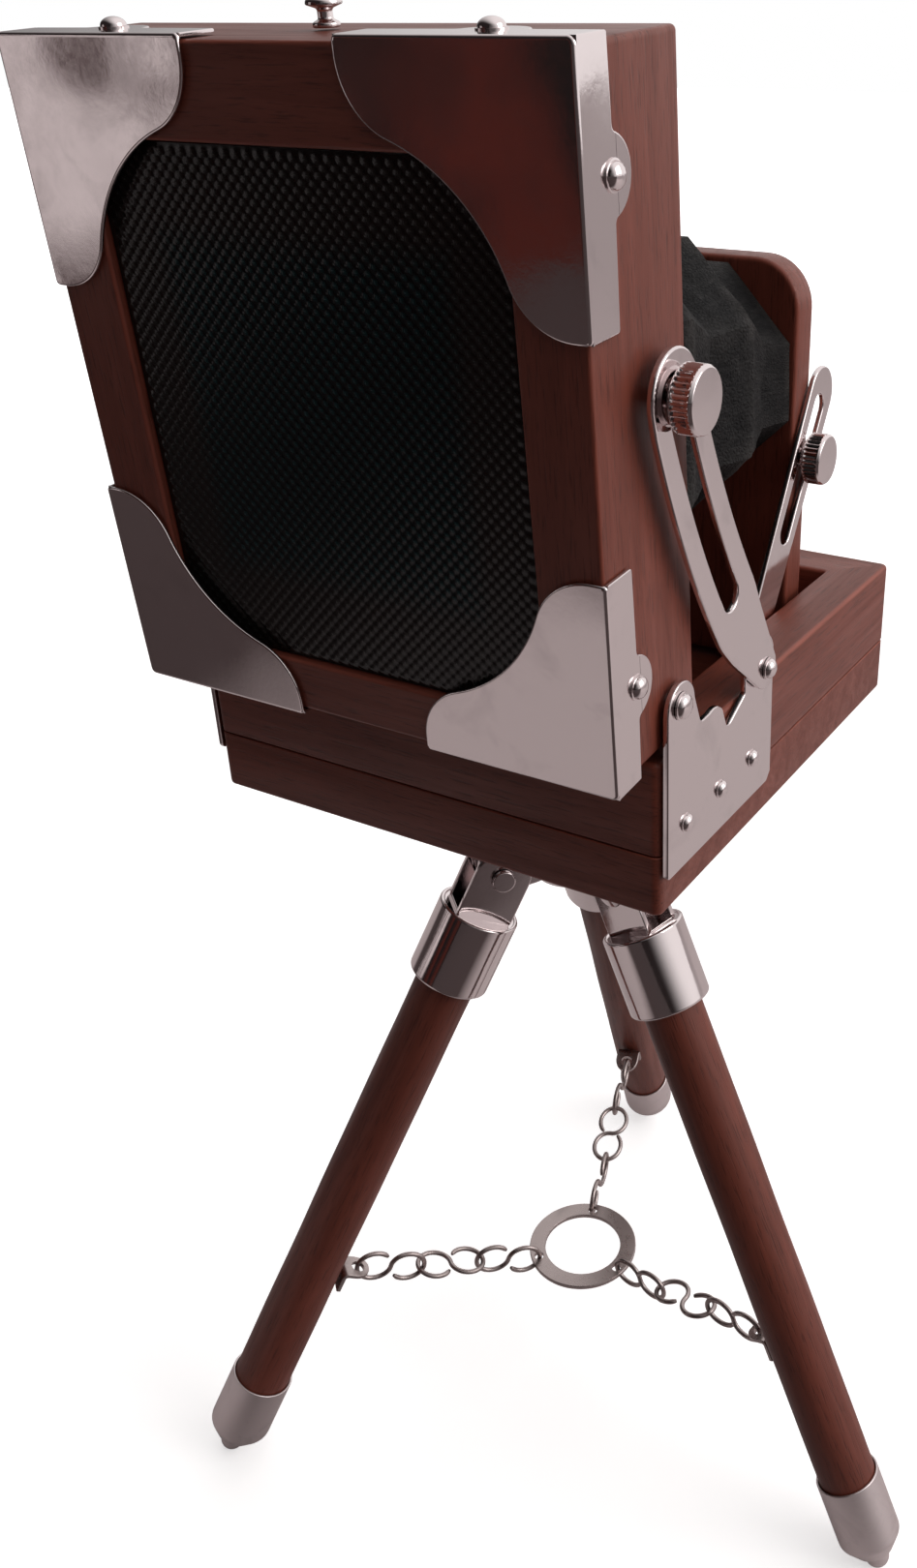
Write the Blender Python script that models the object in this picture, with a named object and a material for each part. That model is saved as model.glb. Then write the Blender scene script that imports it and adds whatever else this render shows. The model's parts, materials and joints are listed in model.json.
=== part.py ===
"""Miniature wooden folding view camera on a three-legged tripod, modelled as separate pieces.

All sizes below are in millimetres; MM turns them into metres. +Z is up, the lens looks along -Y
and the glass back faces +Y. Distances called "forward" run from the tray's back face towards the
lens. Left and right are those of a person who stands behind the glass, so right is -X.
"""
import math

import bmesh
import bpy
from mathutils import Matrix, Vector

MM = 0.001
GAP = 0.3                 # air between two pieces that touch
SIDES = {"left": 1, "right": -1}        # sign of X on each side

# Tray: the bed that the camera stands on
TRAY_W, TRAY_D, TRAY_H = 92.0, 99.0, 27.7
TRAY_WALL = 10.1
TRAY_ROUND = 1.5
FLOOR_T = 11.0
HUB_SETBACK = 3.5         # the tripod stands this far behind the tray's middle

# Rear frame: the hollow box that holds the glass
FRAME_W, FRAME_H, FRAME_T = 90.8, 97.6, 24.5
FRAME_LEAN = 4.2          # degrees that its top leans back
FRAME_FOOT_ROUND = 5.0
OPENING_W, OPENING_H, OPENING_LOW = 69.0, 76.5, 8.8
PIVOT_FORWARD, PIVOT_Z = 4.3, 36.4      # the frame's pivot over the tray
PIVOT_IN_FRAME = (16.9, 6.25)           # the same pivot: forward of the frame's back, above its foot
PIVOT_R = 1.6
GLASS_T, GLASS_INSET = 2.0, 1.0
SHIELD_T = 3.0
SHIELD_HOLE_W, SHIELD_HOLE_H, SHIELD_HOLE_LOW = 46.0, 45.0, 27.0

# Sheet-metal corners of the rear frame
SHEET = 0.5
CORNER_LEN = 33.0
CORNER_TIP_R = 9.9        # rounded tip at each end of the ogee
CORNER_TIP_OUT = 1.5
CORNER_WAIST = 35.0       # centre of the hollow middle of the ogee, from both edges
FLANGE_W = 6.2
LOBE_R, LOBE_AT = 5.0, 14.6
PIN_R, PIN_H = 1.8, 1.2
TOP_KNOB = ((2.0, 0.0), (2.0, 0.8), (1.1, 1.2), (1.1, 2.3), (2.7, 3.0), (2.6, 3.8), (1.6, 4.2))

# Side plates and the slotted rear struts
PLATE_T = 1.0
PLATE_LOW, PLATE_EDGE = 7.2, 0.4
PLATE_ARM_FROM, PLATE_ARM_TO = 27.3, 38.8
PLATE_SCREWS = ((6.4, 15.0), (18.6, 15.0), (30.7, 15.0))
SCREW_HEAD_R, SCREW_HEAD_H = 1.6, 1.1
PLATE_CUT = 1.5           # cut lower front corner
# The side plate's upper edge, as offsets (forward, up) from the frame's pivot
EAR_AT, EAR_R = (0.3, -0.6), 4.3
EAR_FOOT = (6.8, -5.8)
BUMP_AT, BUMP_R = (11.4, -9.4), 4.0
NOTCH_AT, SHOULDER_DROP = (16.4, -11.2), 7.8
STRUT_T = 1.0
REAR_STRUT_PIVOT = (32.8, 31.4)         # forward, up
REAR_STRUT_ANGLE = 124.7                # degrees from forward, towards up and back
REAR_STRUT_LEN = 62.0                   # pivot to clamp screw
REAR_STRUT_BOW = 0.0028                 # the arm's curve: offset grows with the square of the run
REAR_STRUT_BOW_AT, REAR_STRUT_BOW_OUT = 22.0, -1.75
REAR_SLOT_FROM, REAR_SLOT_TO, REAR_SLOT_W = 20.5, 64.5, 5.2
REAR_STRUT_W, REAR_STRUT_FOOT_W = 13.8, 7.4
REAR_STRUT_NECK = (12.0, 6.2)           # run and half width where the arm starts to widen
REAR_STRUT_WIDE_AT = 16.9
REAR_HEAD_R, REAR_HEAD_BACK = 6.5, 2.4
RIVET_R, RIVET_HEAD_R, RIVET_HEAD_H = 1.5, 1.9, 1.3
SHANK_R = 1.5
KNOB_R, KNOB_L, KNOB_TEETH, KNOB_TOOTH = 4.8, 4.4, 18, 0.35
KNOB_BODY_R, KNOB_CHAMFER = 3.9, 0.4    # the plain ends on both sides of the knurl
KNURL_FROM, KNURL_TO = 0.7, 3.8
BORE_DEPTH = 6.0          # depth of a blind hole for a pin; the pin ends PIN_SHORT above its end
PIN_SHORT = 1.0

# Front standard, its struts and the lens
STANDARD_W, STANDARD_T, STANDARD_ROUND = 68.6, 6.7, 9.0
STANDARD_TOP = 90.4
HINGE_FORWARD, HINGE_Z, HINGE_R = 76.65, 16.1, 1.5
STANDARD_FOOT = 3.4       # wood below the hinge rod
FRONT_STRUT_PIVOT = (52.4, 16.0)
FRONT_STRUT_LEN = 63.0
FRONT_STRUT_W, FRONT_STRUT_FOOT_R = 10.6, 4.3
FRONT_SLOT_FROM, FRONT_SLOT_TO, FRONT_SLOT_W = 28.4, 57.8, 4.6
FRONT_KNOB_Z = 54.5
LENS_Z = 69.0
LENS_HOLE_R = 12.0
FLANGE_R, FLANGE_T = 19.0, 2.2
FLANGE_CHAMFER = 0.8
BARREL_R, BARREL_BORE_R, BARREL_L = 13.5, 10.5, 17.0
BARREL_TAIL, BARREL_CHAMFER = 5.0, 1.4  # its tail runs into the board
RING_AT, RING_R, RING_L, RING_TEETH = 7.2, 16.0, 6.0, 24
LENS_R, LENS_T = 10.2, 4.0
LENS_AT, LENS_RIM_T = 9.0, 1.0

# Bellows: (forward, half width, bottom, top) of each fold
BELLOWS_FOLDS = (
    (5.0, 31.0, 42.0, 103.0), (14.0, 33.2, 41.0, 104.0), (24.0, 31.0, 44.0, 99.5),
    (34.0, 33.6, 43.5, 100.0), (44.0, 31.5, 47.0, 95.0), (56.0, 33.8, 46.5, 95.5),
    (64.0, 32.0, 49.5, 90.5), (72.95, 33.2, 49.0, 89.0))
BELLOWS_WALL, BELLOWS_CHAMFER = 0.8, 13.0

# Tripod
LEG_AZIMUTHS = (48.0, 168.0, 288.0)     # degrees from +X
LEG_SPLAY = 26.5
LEG_HINGE_R, LEG_HINGE_Z = 15.4, -27.6
LEG_LEN = 162.5           # hinge to the tip of the foot
DOWEL_R = 6.35
SOCKET_R, SOCKET_TOP, SOCKET_L, SOCKET_CAP_T = 8.55, 9.7, 17.0, 1.6
SOCKET_CHAMFER = 0.5
LEAF_T, LEAF_W, LEAF_GAP, LEAF_ROOT = 1.2, 12.0, 6.0, 0.6
LEG_PIN_R, LEG_PIN_HEAD_R, LEG_PIN_HEAD_H, LEG_PIN_CROWN_R = 1.6, 3.2, 1.6, 2.2
LEG_PIN_NUT_R, LEG_PIN_NUT_H = 2.4, 1.0
FOOT_R, FOOT_TOP, FOOT_SEAT = 6.95, 23.2, 18.0      # heights above the foot's tip
CONE_TOP, CONE_FOOT_R, CONE_FOOT_UP, NUB_NECK = 8.2, 4.5, 1.2, 1.0
NUB_R, NUB_FLAT = 2.9, 0.6
HUB_FLANGE_R, HUB_FLANGE_T, HUB_BOSS_R = 20.0, 3.6, 8.4
HUB_FOOT_UP = 1.0         # the boss ends this far above the bottom of the lugs
HUB_LUG_R, HUB_LUG_ROOT, HUB_LUG_RISE = 4.6, 2.0, 5.0
HUB_SPINDLE_R, HUB_SPINDLE_L = 3.0, 8.0
TAB_UP = 56.6             # chain tab above the foot's tip
TAB_W, TAB_T, TAB_REACH, TAB_BASE = 6.0, 1.0, 6.4, 5.0
TAB_HOLE_R, TAB_HOLE_IN = 1.5, 2.6      # hole, and its middle from the tab's free end
SPREADER_Z, SPREADER_R, SPREADER_BORE_R, SPREADER_T = -139.5, 12.9, 9.1, 1.0
SPREADER_HOLE_AT, SPREADER_HOLE_R = 11.0, 1.15
WIRE_R, LINKS, LINK_HALF_W, LINK_CROSS, LINK_STEPS = 0.5, 3, 3.5, 0.75, 24

REAR_Y = TRAY_D / 2 - HUB_SETBACK
FRAME_SIDE_X = FRAME_W / 2
PLATE_X = TRAY_W / 2 + GAP
REAR_STRUT_X = PLATE_X + PLATE_T + GAP
TRAY_INNER_X = TRAY_W / 2 - TRAY_WALL
FRONT_STRUT_X = TRAY_INNER_X - GAP - STRUT_T


# ---------------------------------------------------------------- materials

def make_material(name, color, roughness, metallic=0.0, transmission=0.0):
    material = bpy.data.materials.new(name)
    material.use_nodes = True
    shader = material.node_tree.nodes["Principled BSDF"]
    shader.inputs["Base Color"].default_value = (*color, 1.0)
    shader.inputs["Roughness"].default_value = roughness
    shader.inputs["Metallic"].default_value = metallic
    shader.inputs["Transmission Weight"].default_value = transmission
    return material


# ---------------------------------------------------------------- mesh builders, in millimetres

def new_object(name, bm, material, parent, smooth=True):
    """Makes the finished mesh an object in metres under its parent."""
    bmesh.ops.scale(bm, vec=(MM, MM, MM), verts=bm.verts)
    bmesh.ops.recalc_face_normals(bm, faces=bm.faces)
    mesh = bpy.data.meshes.new(name)
    bm.to_mesh(mesh)
    bm.free()
    if smooth:
        mesh.shade_smooth()
        mesh.set_sharp_from_angle(angle=math.radians(35))
    mesh.materials.append(material)
    obj = bpy.data.objects.new(name, mesh)
    bpy.context.scene.collection.objects.link(obj)
    obj.parent = parent
    return obj


def new_axis(name, location, parent=None, rotation=(0, 0, 0)):
    """An empty that carries the pieces of one moving group; its location is in millimetres."""
    empty = bpy.data.objects.new(name, None)
    bpy.context.scene.collection.objects.link(empty)
    empty.location = Vector(location) * MM
    empty.rotation_euler = [math.radians(angle) for angle in rotation]
    empty.parent = parent
    return empty


def arc(center, radius, start, end, steps=8):
    """Points along an arc between two angles in degrees."""
    angles = [math.radians(start + (end - start) * i / steps) for i in range(steps + 1)]
    return [(center[0] + radius * math.cos(a), center[1] + radius * math.sin(a)) for a in angles]


def circle(center, radius, steps=20):
    return arc(center, radius, 0, 360 - 360 / steps, steps - 1)


def rounded_box(x0, y0, x1, y1, radius, steps=4):
    """A rectangle's outline with round corners."""
    return (arc((x1 - radius, y0 + radius), radius, -90, 0, steps)
            + arc((x1 - radius, y1 - radius), radius, 0, 90, steps)
            + arc((x0 + radius, y1 - radius), radius, 90, 180, steps)
            + arc((x0 + radius, y0 + radius), radius, 180, 270, steps))


def plate_mesh(outline, holes, low, high, place):
    """A flat plate with holes: place(u, v, t) gives the point of outline place u, v at depth t."""
    bm = bmesh.new()
    edges = []
    for loop in [outline, *holes]:
        verts = [bm.verts.new(place(u, v, low)) for u, v in loop]
        edges += [bm.edges.new((a, b)) for a, b in zip(verts, verts[1:] + verts[:1])]
    bmesh.ops.triangle_fill(bm, use_beauty=True, use_dissolve=False, edges=edges)
    step = Vector(place(0, 0, high)) - Vector(place(0, 0, low))
    extruded = bmesh.ops.extrude_face_region(bm, geom=list(bm.faces))
    moved = [item for item in extruded["geom"] if isinstance(item, bmesh.types.BMVert)]
    bmesh.ops.translate(bm, vec=step, verts=moved)
    return bm


def turned_mesh(profile, steps, place):
    """Turns a closed profile of (radius, height) points; place(x, y, h) gives each point."""
    bm = bmesh.new()
    rings = []
    for radius, height in profile:
        if radius == 0:
            rings.append([bm.verts.new(place(0, 0, height))])
            continue
        angles = [2 * math.pi * i / steps for i in range(steps)]
        rings.append([bm.verts.new(place(radius * math.cos(a), radius * math.sin(a), height))
                      for a in angles])
    for a, b in zip(rings, rings[1:] + rings[:1]):
        for i in range(steps):
            j = (i + 1) % steps
            corners = [a[i % len(a)], a[j % len(a)], b[j % len(b)], b[i % len(b)]]
            unique = list(dict.fromkeys(corners))
            if len(unique) > 2:
                bm.faces.new(unique)
    return bm


def merged(meshes):
    """Puts several meshes in one, as separate shells."""
    whole = bmesh.new()
    for part in meshes:
        piece = bpy.data.meshes.new("scratch")
        part.to_mesh(piece)
        part.free()
        whole.from_mesh(piece)
        bpy.data.meshes.remove(piece)
    return whole


def add_boolean(obj, bm, operation, parent):
    """Cuts or joins a helper shape, which stays hidden in the file as a wire."""
    helper = new_object(obj.name + "_" + operation.lower() + str(len(obj.modifiers)), bm,
                        obj.data.materials[0], parent, smooth=False)
    helper.hide_render = True
    helper.display_type = "WIRE"
    modifier = obj.modifiers.new(operation.title(), "BOOLEAN")
    modifier.operation = operation
    modifier.object = helper
    modifier.solver = "EXACT"


def upright(x, y, h):
    return (x, y, h)


def bed_side(side):
    """Outline (forward, up) to bed space; depth runs outwards along X on the given side."""
    return lambda u, v, t: (side * t, REAR_Y - u, v)


def turned_x(side, x, y, z):
    """Turned shapes on an axis along X: height runs outwards from x on the given side."""
    return lambda a, b, h: (side * (x + h), y + a, z + b)


def turned_y(y, x, z):
    """Turned shapes on an axis along Y: height runs towards the lens."""
    return lambda a, b, h: (x + a, y - h, z + b)


def rod_profile(radius, low, high):
    return [(0, low), (radius, low), (radius, high), (0, high)]


def dome_profile(radius, height, base, steps):
    """Half of a low dome from its rim up to its crown, then closed at its base."""
    rim = [(radius * math.cos(math.pi / 2 * i / steps), base + height * math.sin(math.pi / 2 * i / steps))
           for i in range(steps)]
    return [(0, base), *rim, (0, base + height)]


def rivet_profile(shank_r, head_r, head_h, shank_low, head_low):
    """A domed head with its shank below, from the shank's end to the crown."""
    steps = 3
    rim = [(head_r * math.cos(math.pi / 2 * i / steps),
            head_low + head_h * math.sin(math.pi / 2 * i / steps)) for i in range(steps)]
    return [(0, shank_low), (shank_r, shank_low), (shank_r, head_low), *rim, (0, head_low + head_h)]


def knurled(radius, tooth, teeth):
    """A gear-like round outline."""
    points = []
    for i in range(teeth):
        for part, r in ((0.0, radius - tooth), (0.25, radius), (0.6, radius), (0.85, radius - tooth)):
            a = 2 * math.pi * (i + part) / teeth
            points.append((r * math.cos(a), r * math.sin(a)))
    return points


# ---------------------------------------------------------------- tray and its fittings

def build_tray(bed, wood):
    x0, x1 = -TRAY_W / 2, TRAY_W / 2
    y0, y1 = REAR_Y - TRAY_D, REAR_Y
    outer = rounded_box(x0, y0, x1, y1, TRAY_ROUND)
    inner = rounded_box(x0 + TRAY_WALL, y0 + TRAY_WALL, x1 - TRAY_WALL, y1 - TRAY_WALL, 0.5, 1)
    floor = plate_mesh(outer, [circle((0, 0), HUB_SPINDLE_R + GAP, 16)], 0, FLOOR_T, upright)
    new_object("tray_floor", floor, wood, bed)
    rim = new_object("tray_rim", plate_mesh(outer, [inner], FLOOR_T + GAP, TRAY_H, upright), wood, bed)
    bores = []
    for side in SIDES.values():
        bores.append(turned_mesh(rod_profile(HINGE_R + GAP, -1, BORE_DEPTH), 16,
                                 turned_x(side, TRAY_INNER_X, REAR_Y - HINGE_FORWARD, HINGE_Z)))
        forward, up = FRONT_STRUT_PIVOT
        bores.append(turned_mesh(rod_profile(RIVET_R + GAP, -1, BORE_DEPTH), 16,
                                 turned_x(side, TRAY_INNER_X, REAR_Y - forward, up)))
    add_boolean(rim, merged(bores), "DIFFERENCE", bed)


def plate_outline():
    """Side plate, seen from its side: an ear for the frame's pivot, two notches, an upright arm."""
    def at(offset):
        return (PIVOT_FORWARD + offset[0], PIVOT_Z + offset[1])

    ear = arc(at(EAR_AT), EAR_R, 180, 0, 10)
    bump = arc(at(BUMP_AT), BUMP_R, 110, 40, 4)
    arm_top = arc(REAR_STRUT_PIVOT, (PLATE_ARM_TO - PLATE_ARM_FROM) / 2, 180, 20, 8)
    return [(PLATE_EDGE, PLATE_LOW), *ear, at(EAR_FOOT), *bump, at(NOTCH_AT),
            (PLATE_ARM_FROM, PIVOT_Z - SHOULDER_DROP), *arm_top, (PLATE_ARM_TO, PLATE_LOW + PLATE_CUT),
            (PLATE_ARM_TO - PLATE_CUT, PLATE_LOW)]


def build_side_plates(bed, nickel):
    for name, side in SIDES.items():
        pivot = circle((PIVOT_FORWARD, PIVOT_Z), PIVOT_R + GAP, 16)
        rivet = circle(REAR_STRUT_PIVOT, RIVET_R + GAP, 16)
        bm = plate_mesh(plate_outline(), [pivot, rivet], PLATE_X, PLATE_X + PLATE_T, bed_side(side))
        plate = new_object("side_plate_" + name, bm, nickel, bed)
        heads = [turned_mesh(dome_profile(SCREW_HEAD_R, SCREW_HEAD_H, -0.3, 3), 10,
                             turned_x(side, PLATE_X + PLATE_T, REAR_Y - forward, up))
                 for forward, up in PLATE_SCREWS]
        add_boolean(plate, merged(heads), "UNION", bed)
        pivot_profile = rivet_profile(PIVOT_R, RIVET_HEAD_R + 0.4, RIVET_HEAD_H,
                                      FRAME_SIDE_X - BORE_DEPTH + PIN_SHORT, PLATE_X + PLATE_T + GAP)
        pin = turned_mesh(pivot_profile, 16, turned_x(side, 0, REAR_Y - PIVOT_FORWARD, PIVOT_Z))
        new_object("frame_pivot_" + name, pin, nickel, bed)
        head_at = REAR_STRUT_X + STRUT_T + GAP
        profile = rivet_profile(RIVET_R, RIVET_HEAD_R, RIVET_HEAD_H, TRAY_W / 2 + GAP, head_at)
        forward, up = REAR_STRUT_PIVOT
        rivet = turned_mesh(profile, 16, turned_x(side, 0, REAR_Y - forward, up))
        new_object("rear_strut_rivet_" + name, rivet, nickel, bed)


# ---------------------------------------------------------------- slotted struts and their knobs

def rear_bow(run):
    """How far the rear strut's middle line lies off the straight line at this distance."""
    return REAR_STRUT_BOW_OUT + REAR_STRUT_BOW * (run - REAR_STRUT_BOW_AT) ** 2


def rear_strut_outline():
    """A bowed arm with a round head and a narrow foot round its pivot, along +u."""
    half, foot = REAR_STRUT_W / 2, REAR_STRUT_FOOT_W / 2
    tip = REAR_SLOT_TO - REAR_HEAD_BACK
    steps = 9
    sides = [REAR_STRUT_NECK]
    sides += [(REAR_STRUT_WIDE_AT + (tip - 1 - REAR_STRUT_WIDE_AT) * i / steps, half) for i in range(steps + 1)]
    upper = [(u, rear_bow(u) + w) for u, w in sides]
    lower = [(u, rear_bow(u) - w) for u, w in reversed(sides)]
    head = arc((tip, rear_bow(tip)), REAR_HEAD_R, 75, -75, 8)
    return [*arc((0, 0), foot, 250, 105, 6), *upper, *head, *lower]


def rear_slot():
    half = REAR_SLOT_W / 2
    runs = [REAR_SLOT_FROM + half + (REAR_SLOT_TO - REAR_SLOT_FROM - 2 * half) * i / 8 for i in range(9)]
    upper = [(u, rear_bow(u) + half) for u in runs]
    lower = [(u, rear_bow(u) - half) for u in reversed(runs)]
    return [*upper, (REAR_SLOT_TO, rear_bow(REAR_SLOT_TO)), *lower, (REAR_SLOT_FROM, rear_bow(REAR_SLOT_FROM))]


def clamp_point():
    """Where the rear clamp screw stands, as (forward, up) over the tray."""
    a = math.radians(REAR_STRUT_ANGLE)
    run, off = REAR_STRUT_LEN, rear_bow(REAR_STRUT_LEN)
    return (REAR_STRUT_PIVOT[0] + run * math.cos(a) + off * math.sin(a),
            REAR_STRUT_PIVOT[1] + run * math.sin(a) - off * math.cos(a))


def turned_outline(side, angle, depth0):
    """Outline (along the strut, across it) on a pivot; the strut rises at this angle from forward."""
    c, s = math.cos(math.radians(angle)), math.sin(math.radians(angle))
    return lambda u, v, t: (side * (depth0 + t), -(u * c + v * s), u * s - v * c)


def build_rear_struts(axis, nickel):
    for name, side in SIDES.items():
        place = turned_outline(side, REAR_STRUT_ANGLE, REAR_STRUT_X)
        holes = [rear_slot(), circle((0, 0), RIVET_R + GAP, 16)]
        bm = plate_mesh(rear_strut_outline(), holes, 0, STRUT_T, place)
        new_object("rear_strut_" + name, bm, nickel, axis)


def front_strut_angle():
    rise = FRONT_KNOB_Z - FRONT_STRUT_PIVOT[1]
    return math.degrees(math.atan2(rise, HINGE_FORWARD - FRONT_STRUT_PIVOT[0]))


def build_front_struts(axis, bed, nickel):
    half, slot = FRONT_STRUT_W / 2, FRONT_SLOT_W / 2
    tip = FRONT_STRUT_LEN - half
    outline = [*arc((0, 0), FRONT_STRUT_FOOT_R, 270, 90, 8), *arc((tip, 0), half, 90, -90, 10)]
    slot_loop = [*arc((FRONT_SLOT_TO - slot, 0), slot, -90, 90, 6),
                 *arc((FRONT_SLOT_FROM + slot, 0), slot, 90, 270, 6)]
    for name, side in SIDES.items():
        place = turned_outline(side, front_strut_angle(), FRONT_STRUT_X)
        bm = plate_mesh(outline, [slot_loop, circle((0, 0), RIVET_R + GAP, 16)], 0, STRUT_T, place)
        new_object("front_strut_" + name, bm, nickel, axis)
        forward, up = FRONT_STRUT_PIVOT
        shank_end = TRAY_INNER_X + BORE_DEPTH - PIN_SHORT
        head = FRONT_STRUT_X - GAP
        profile = [(r, -h) for r, h in rivet_profile(RIVET_R, RIVET_HEAD_R, RIVET_HEAD_H,
                                                     -shank_end, -head)]
        bm = turned_mesh(profile, 16, turned_x(side, 0, REAR_Y - forward, up))
        new_object("front_strut_rivet_" + name, bm, nickel, bed)


def build_knob(name, side, axis, seat_x, shank_to_x, nickel):
    """A knurled clamp knob whose shank runs inwards; its parent stands on its axis."""
    teeth = knurled(KNOB_R, KNOB_TOOTH, KNOB_TEETH)
    body = plate_mesh(teeth, [], seat_x + KNURL_FROM, seat_x + KNURL_TO, lambda u, v, t: (side * t, u, v))
    knob = new_object(name, body, nickel, axis)
    end = seat_x + KNOB_L
    core = [(0, shank_to_x), (SHANK_R, shank_to_x), (SHANK_R, seat_x), (KNOB_BODY_R, seat_x),
            (KNOB_BODY_R, end - KNOB_CHAMFER), (KNOB_BODY_R - KNOB_CHAMFER, end), (0, end)]
    add_boolean(knob, turned_mesh(core, 16, turned_x(side, 0, 0, 0)), "UNION", axis)


# ---------------------------------------------------------------- rear frame

def in_frame(w, v):
    """A place forward of the frame's back and above its foot, from the frame's pivot, as (y, z)."""
    return PIVOT_IN_FRAME[0] - w, v - PIVOT_IN_FRAME[1]


def frame_face(depth):
    """Outline (x, up from the frame's foot) to pivot space; depth runs forward from its back."""
    return lambda u, v, t: (u, *in_frame(depth + t, v))


def frame_place(point):
    """A place over the tray, (forward, up), turned into the leaning frame's own (w, v)."""
    forward, up = point[0] - PIVOT_FORWARD, point[1] - PIVOT_Z
    c, s = math.cos(math.radians(FRAME_LEAN)), math.sin(math.radians(FRAME_LEAN))
    return (PIVOT_IN_FRAME[0] + forward * c + up * s, PIVOT_IN_FRAME[1] - forward * s + up * c)


def build_rear_frame(axis, wood, dark, glass, nickel):
    half = FRAME_W / 2
    outer = rounded_box(-half, 0, half, FRAME_H, 0.8, 2)
    opening_top = OPENING_LOW + OPENING_H
    inner = rounded_box(-OPENING_W / 2, OPENING_LOW, OPENING_W / 2, opening_top, 1.0, 2)
    frame = new_object("rear_frame", plate_mesh(outer, [inner], 0, FRAME_T, frame_face(0)), wood, axis)
    r = FRAME_FOOT_ROUND
    foot = [(FRAME_T + 1, -1), (FRAME_T + 1, r), *arc((FRAME_T - r, r), r, 0, -90, 6), (FRAME_T - r, -1)]
    cutter = plate_mesh(foot, [], -half - 1, half + 1, lambda w, v, t: (t, *in_frame(w, v)))
    add_boolean(frame, cutter, "DIFFERENCE", axis)
    clamp_y, clamp_z = in_frame(*frame_place(clamp_point()))
    bores = []
    for side in SIDES.values():
        inside = half - BORE_DEPTH
        bores.append(turned_mesh(rod_profile(PIVOT_R + GAP, inside, half + 1), 16, turned_x(side, 0, 0, 0)))
        bores.append(turned_mesh(rod_profile(SHANK_R + GAP, inside, half + 1), 16,
                                 turned_x(side, 0, clamp_y, clamp_z)))
    add_boolean(frame, merged(bores), "DIFFERENCE", axis)

    w, low = OPENING_W / 2 - GAP, OPENING_LOW + GAP
    pane = rounded_box(-w, low, w, opening_top - GAP, 1.0, 2)
    new_object("ground_glass", plate_mesh(pane, [], 0, GLASS_T, frame_face(GLASS_INSET)), glass, axis)
    hole_w = SHIELD_HOLE_W / 2
    hole = rounded_box(-hole_w, SHIELD_HOLE_LOW, hole_w, SHIELD_HOLE_LOW + SHIELD_HOLE_H, 1.0, 2)
    shield_at = GLASS_INSET + GLASS_T + GAP
    new_object("light_shield", plate_mesh(pane, [hole], 0, SHIELD_T, frame_face(shield_at)), dark, axis)

    y, z = in_frame(FRAME_T * 0.55, FRAME_H + GAP)
    profile = [(0, TOP_KNOB[0][1]), *TOP_KNOB, (0, TOP_KNOB[-1][1])]
    new_object("top_knob", turned_mesh(profile, 18, lambda a, b, t: (a, y + b, z + t)), nickel, axis)


def ogee():
    """A corner's free edge, from one edge of the frame to the other: round tip, hollow, round tip."""
    tip = (CORNER_TIP_OUT, CORNER_LEN - CORNER_TIP_R)
    waist = (CORNER_WAIST, CORNER_WAIST)
    turn = math.degrees(math.atan2(waist[1] - tip[1], waist[0] - tip[0]))
    waist_r = math.dist(tip, waist) - CORNER_TIP_R
    first = arc(tip, CORNER_TIP_R, 90, turn, 6)
    hollow = arc(waist, waist_r, 180 + turn, 270 - turn, 8)
    second = [(b, a) for a, b in reversed(first)]
    return [(0, CORNER_LEN), *first, *hollow[1:-1], *second, (CORNER_LEN, 0)]


def flange_outline():
    """A flange's outline, (along the frame's edge, forward): a strip with a round lobe."""
    bump = arc((LOBE_AT, FLANGE_W - 0.6), LOBE_R, 170, 10, 10)
    return [(-SHEET - GAP, -SHEET - GAP), (-SHEET - GAP, FLANGE_W), *bump, (CORNER_LEN, FLANGE_W),
            (CORNER_LEN, -SHEET - GAP)]


def build_corners(axis, nickel):
    half = FRAME_W / 2
    outside, inside = SHEET + GAP, GAP
    for side_name, side in SIDES.items():
        for level, edge, up in (("bottom", 0, 1), ("top", FRAME_H, -1)):
            def face(a, b, t, side=side, edge=edge, up=up):
                return (side * (half - a), *in_frame(t, edge + up * b))

            def side_flange(a, b, t, side=side, edge=edge, up=up):
                return (side * (half + t), *in_frame(b, edge + up * a))

            def end_flange(a, b, t, side=side, edge=edge, up=up):
                return (side * (half - a), *in_frame(b, edge - up * t))

            o = outside
            outline = [(-o, -o), (-o, CORNER_LEN), *ogee()[1:-1], (CORNER_LEN, -o)]
            corner = new_object("corner_" + level + "_" + side_name,
                                plate_mesh(outline, [], -outside, -inside, face), nickel, axis)
            for place in (side_flange, end_flange):
                add_boolean(corner, plate_mesh(flange_outline(), [], inside, outside, place), "UNION", axis)
                pin = dome_profile(PIN_R, PIN_H + 0.2, outside - 0.2, 3)
                dome = turned_mesh(pin, 10, lambda a, b, t, p=place: p(LOBE_AT + a, FLANGE_W + b, t))
                add_boolean(corner, dome, "UNION", axis)


# ---------------------------------------------------------------- front standard and lens

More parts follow.
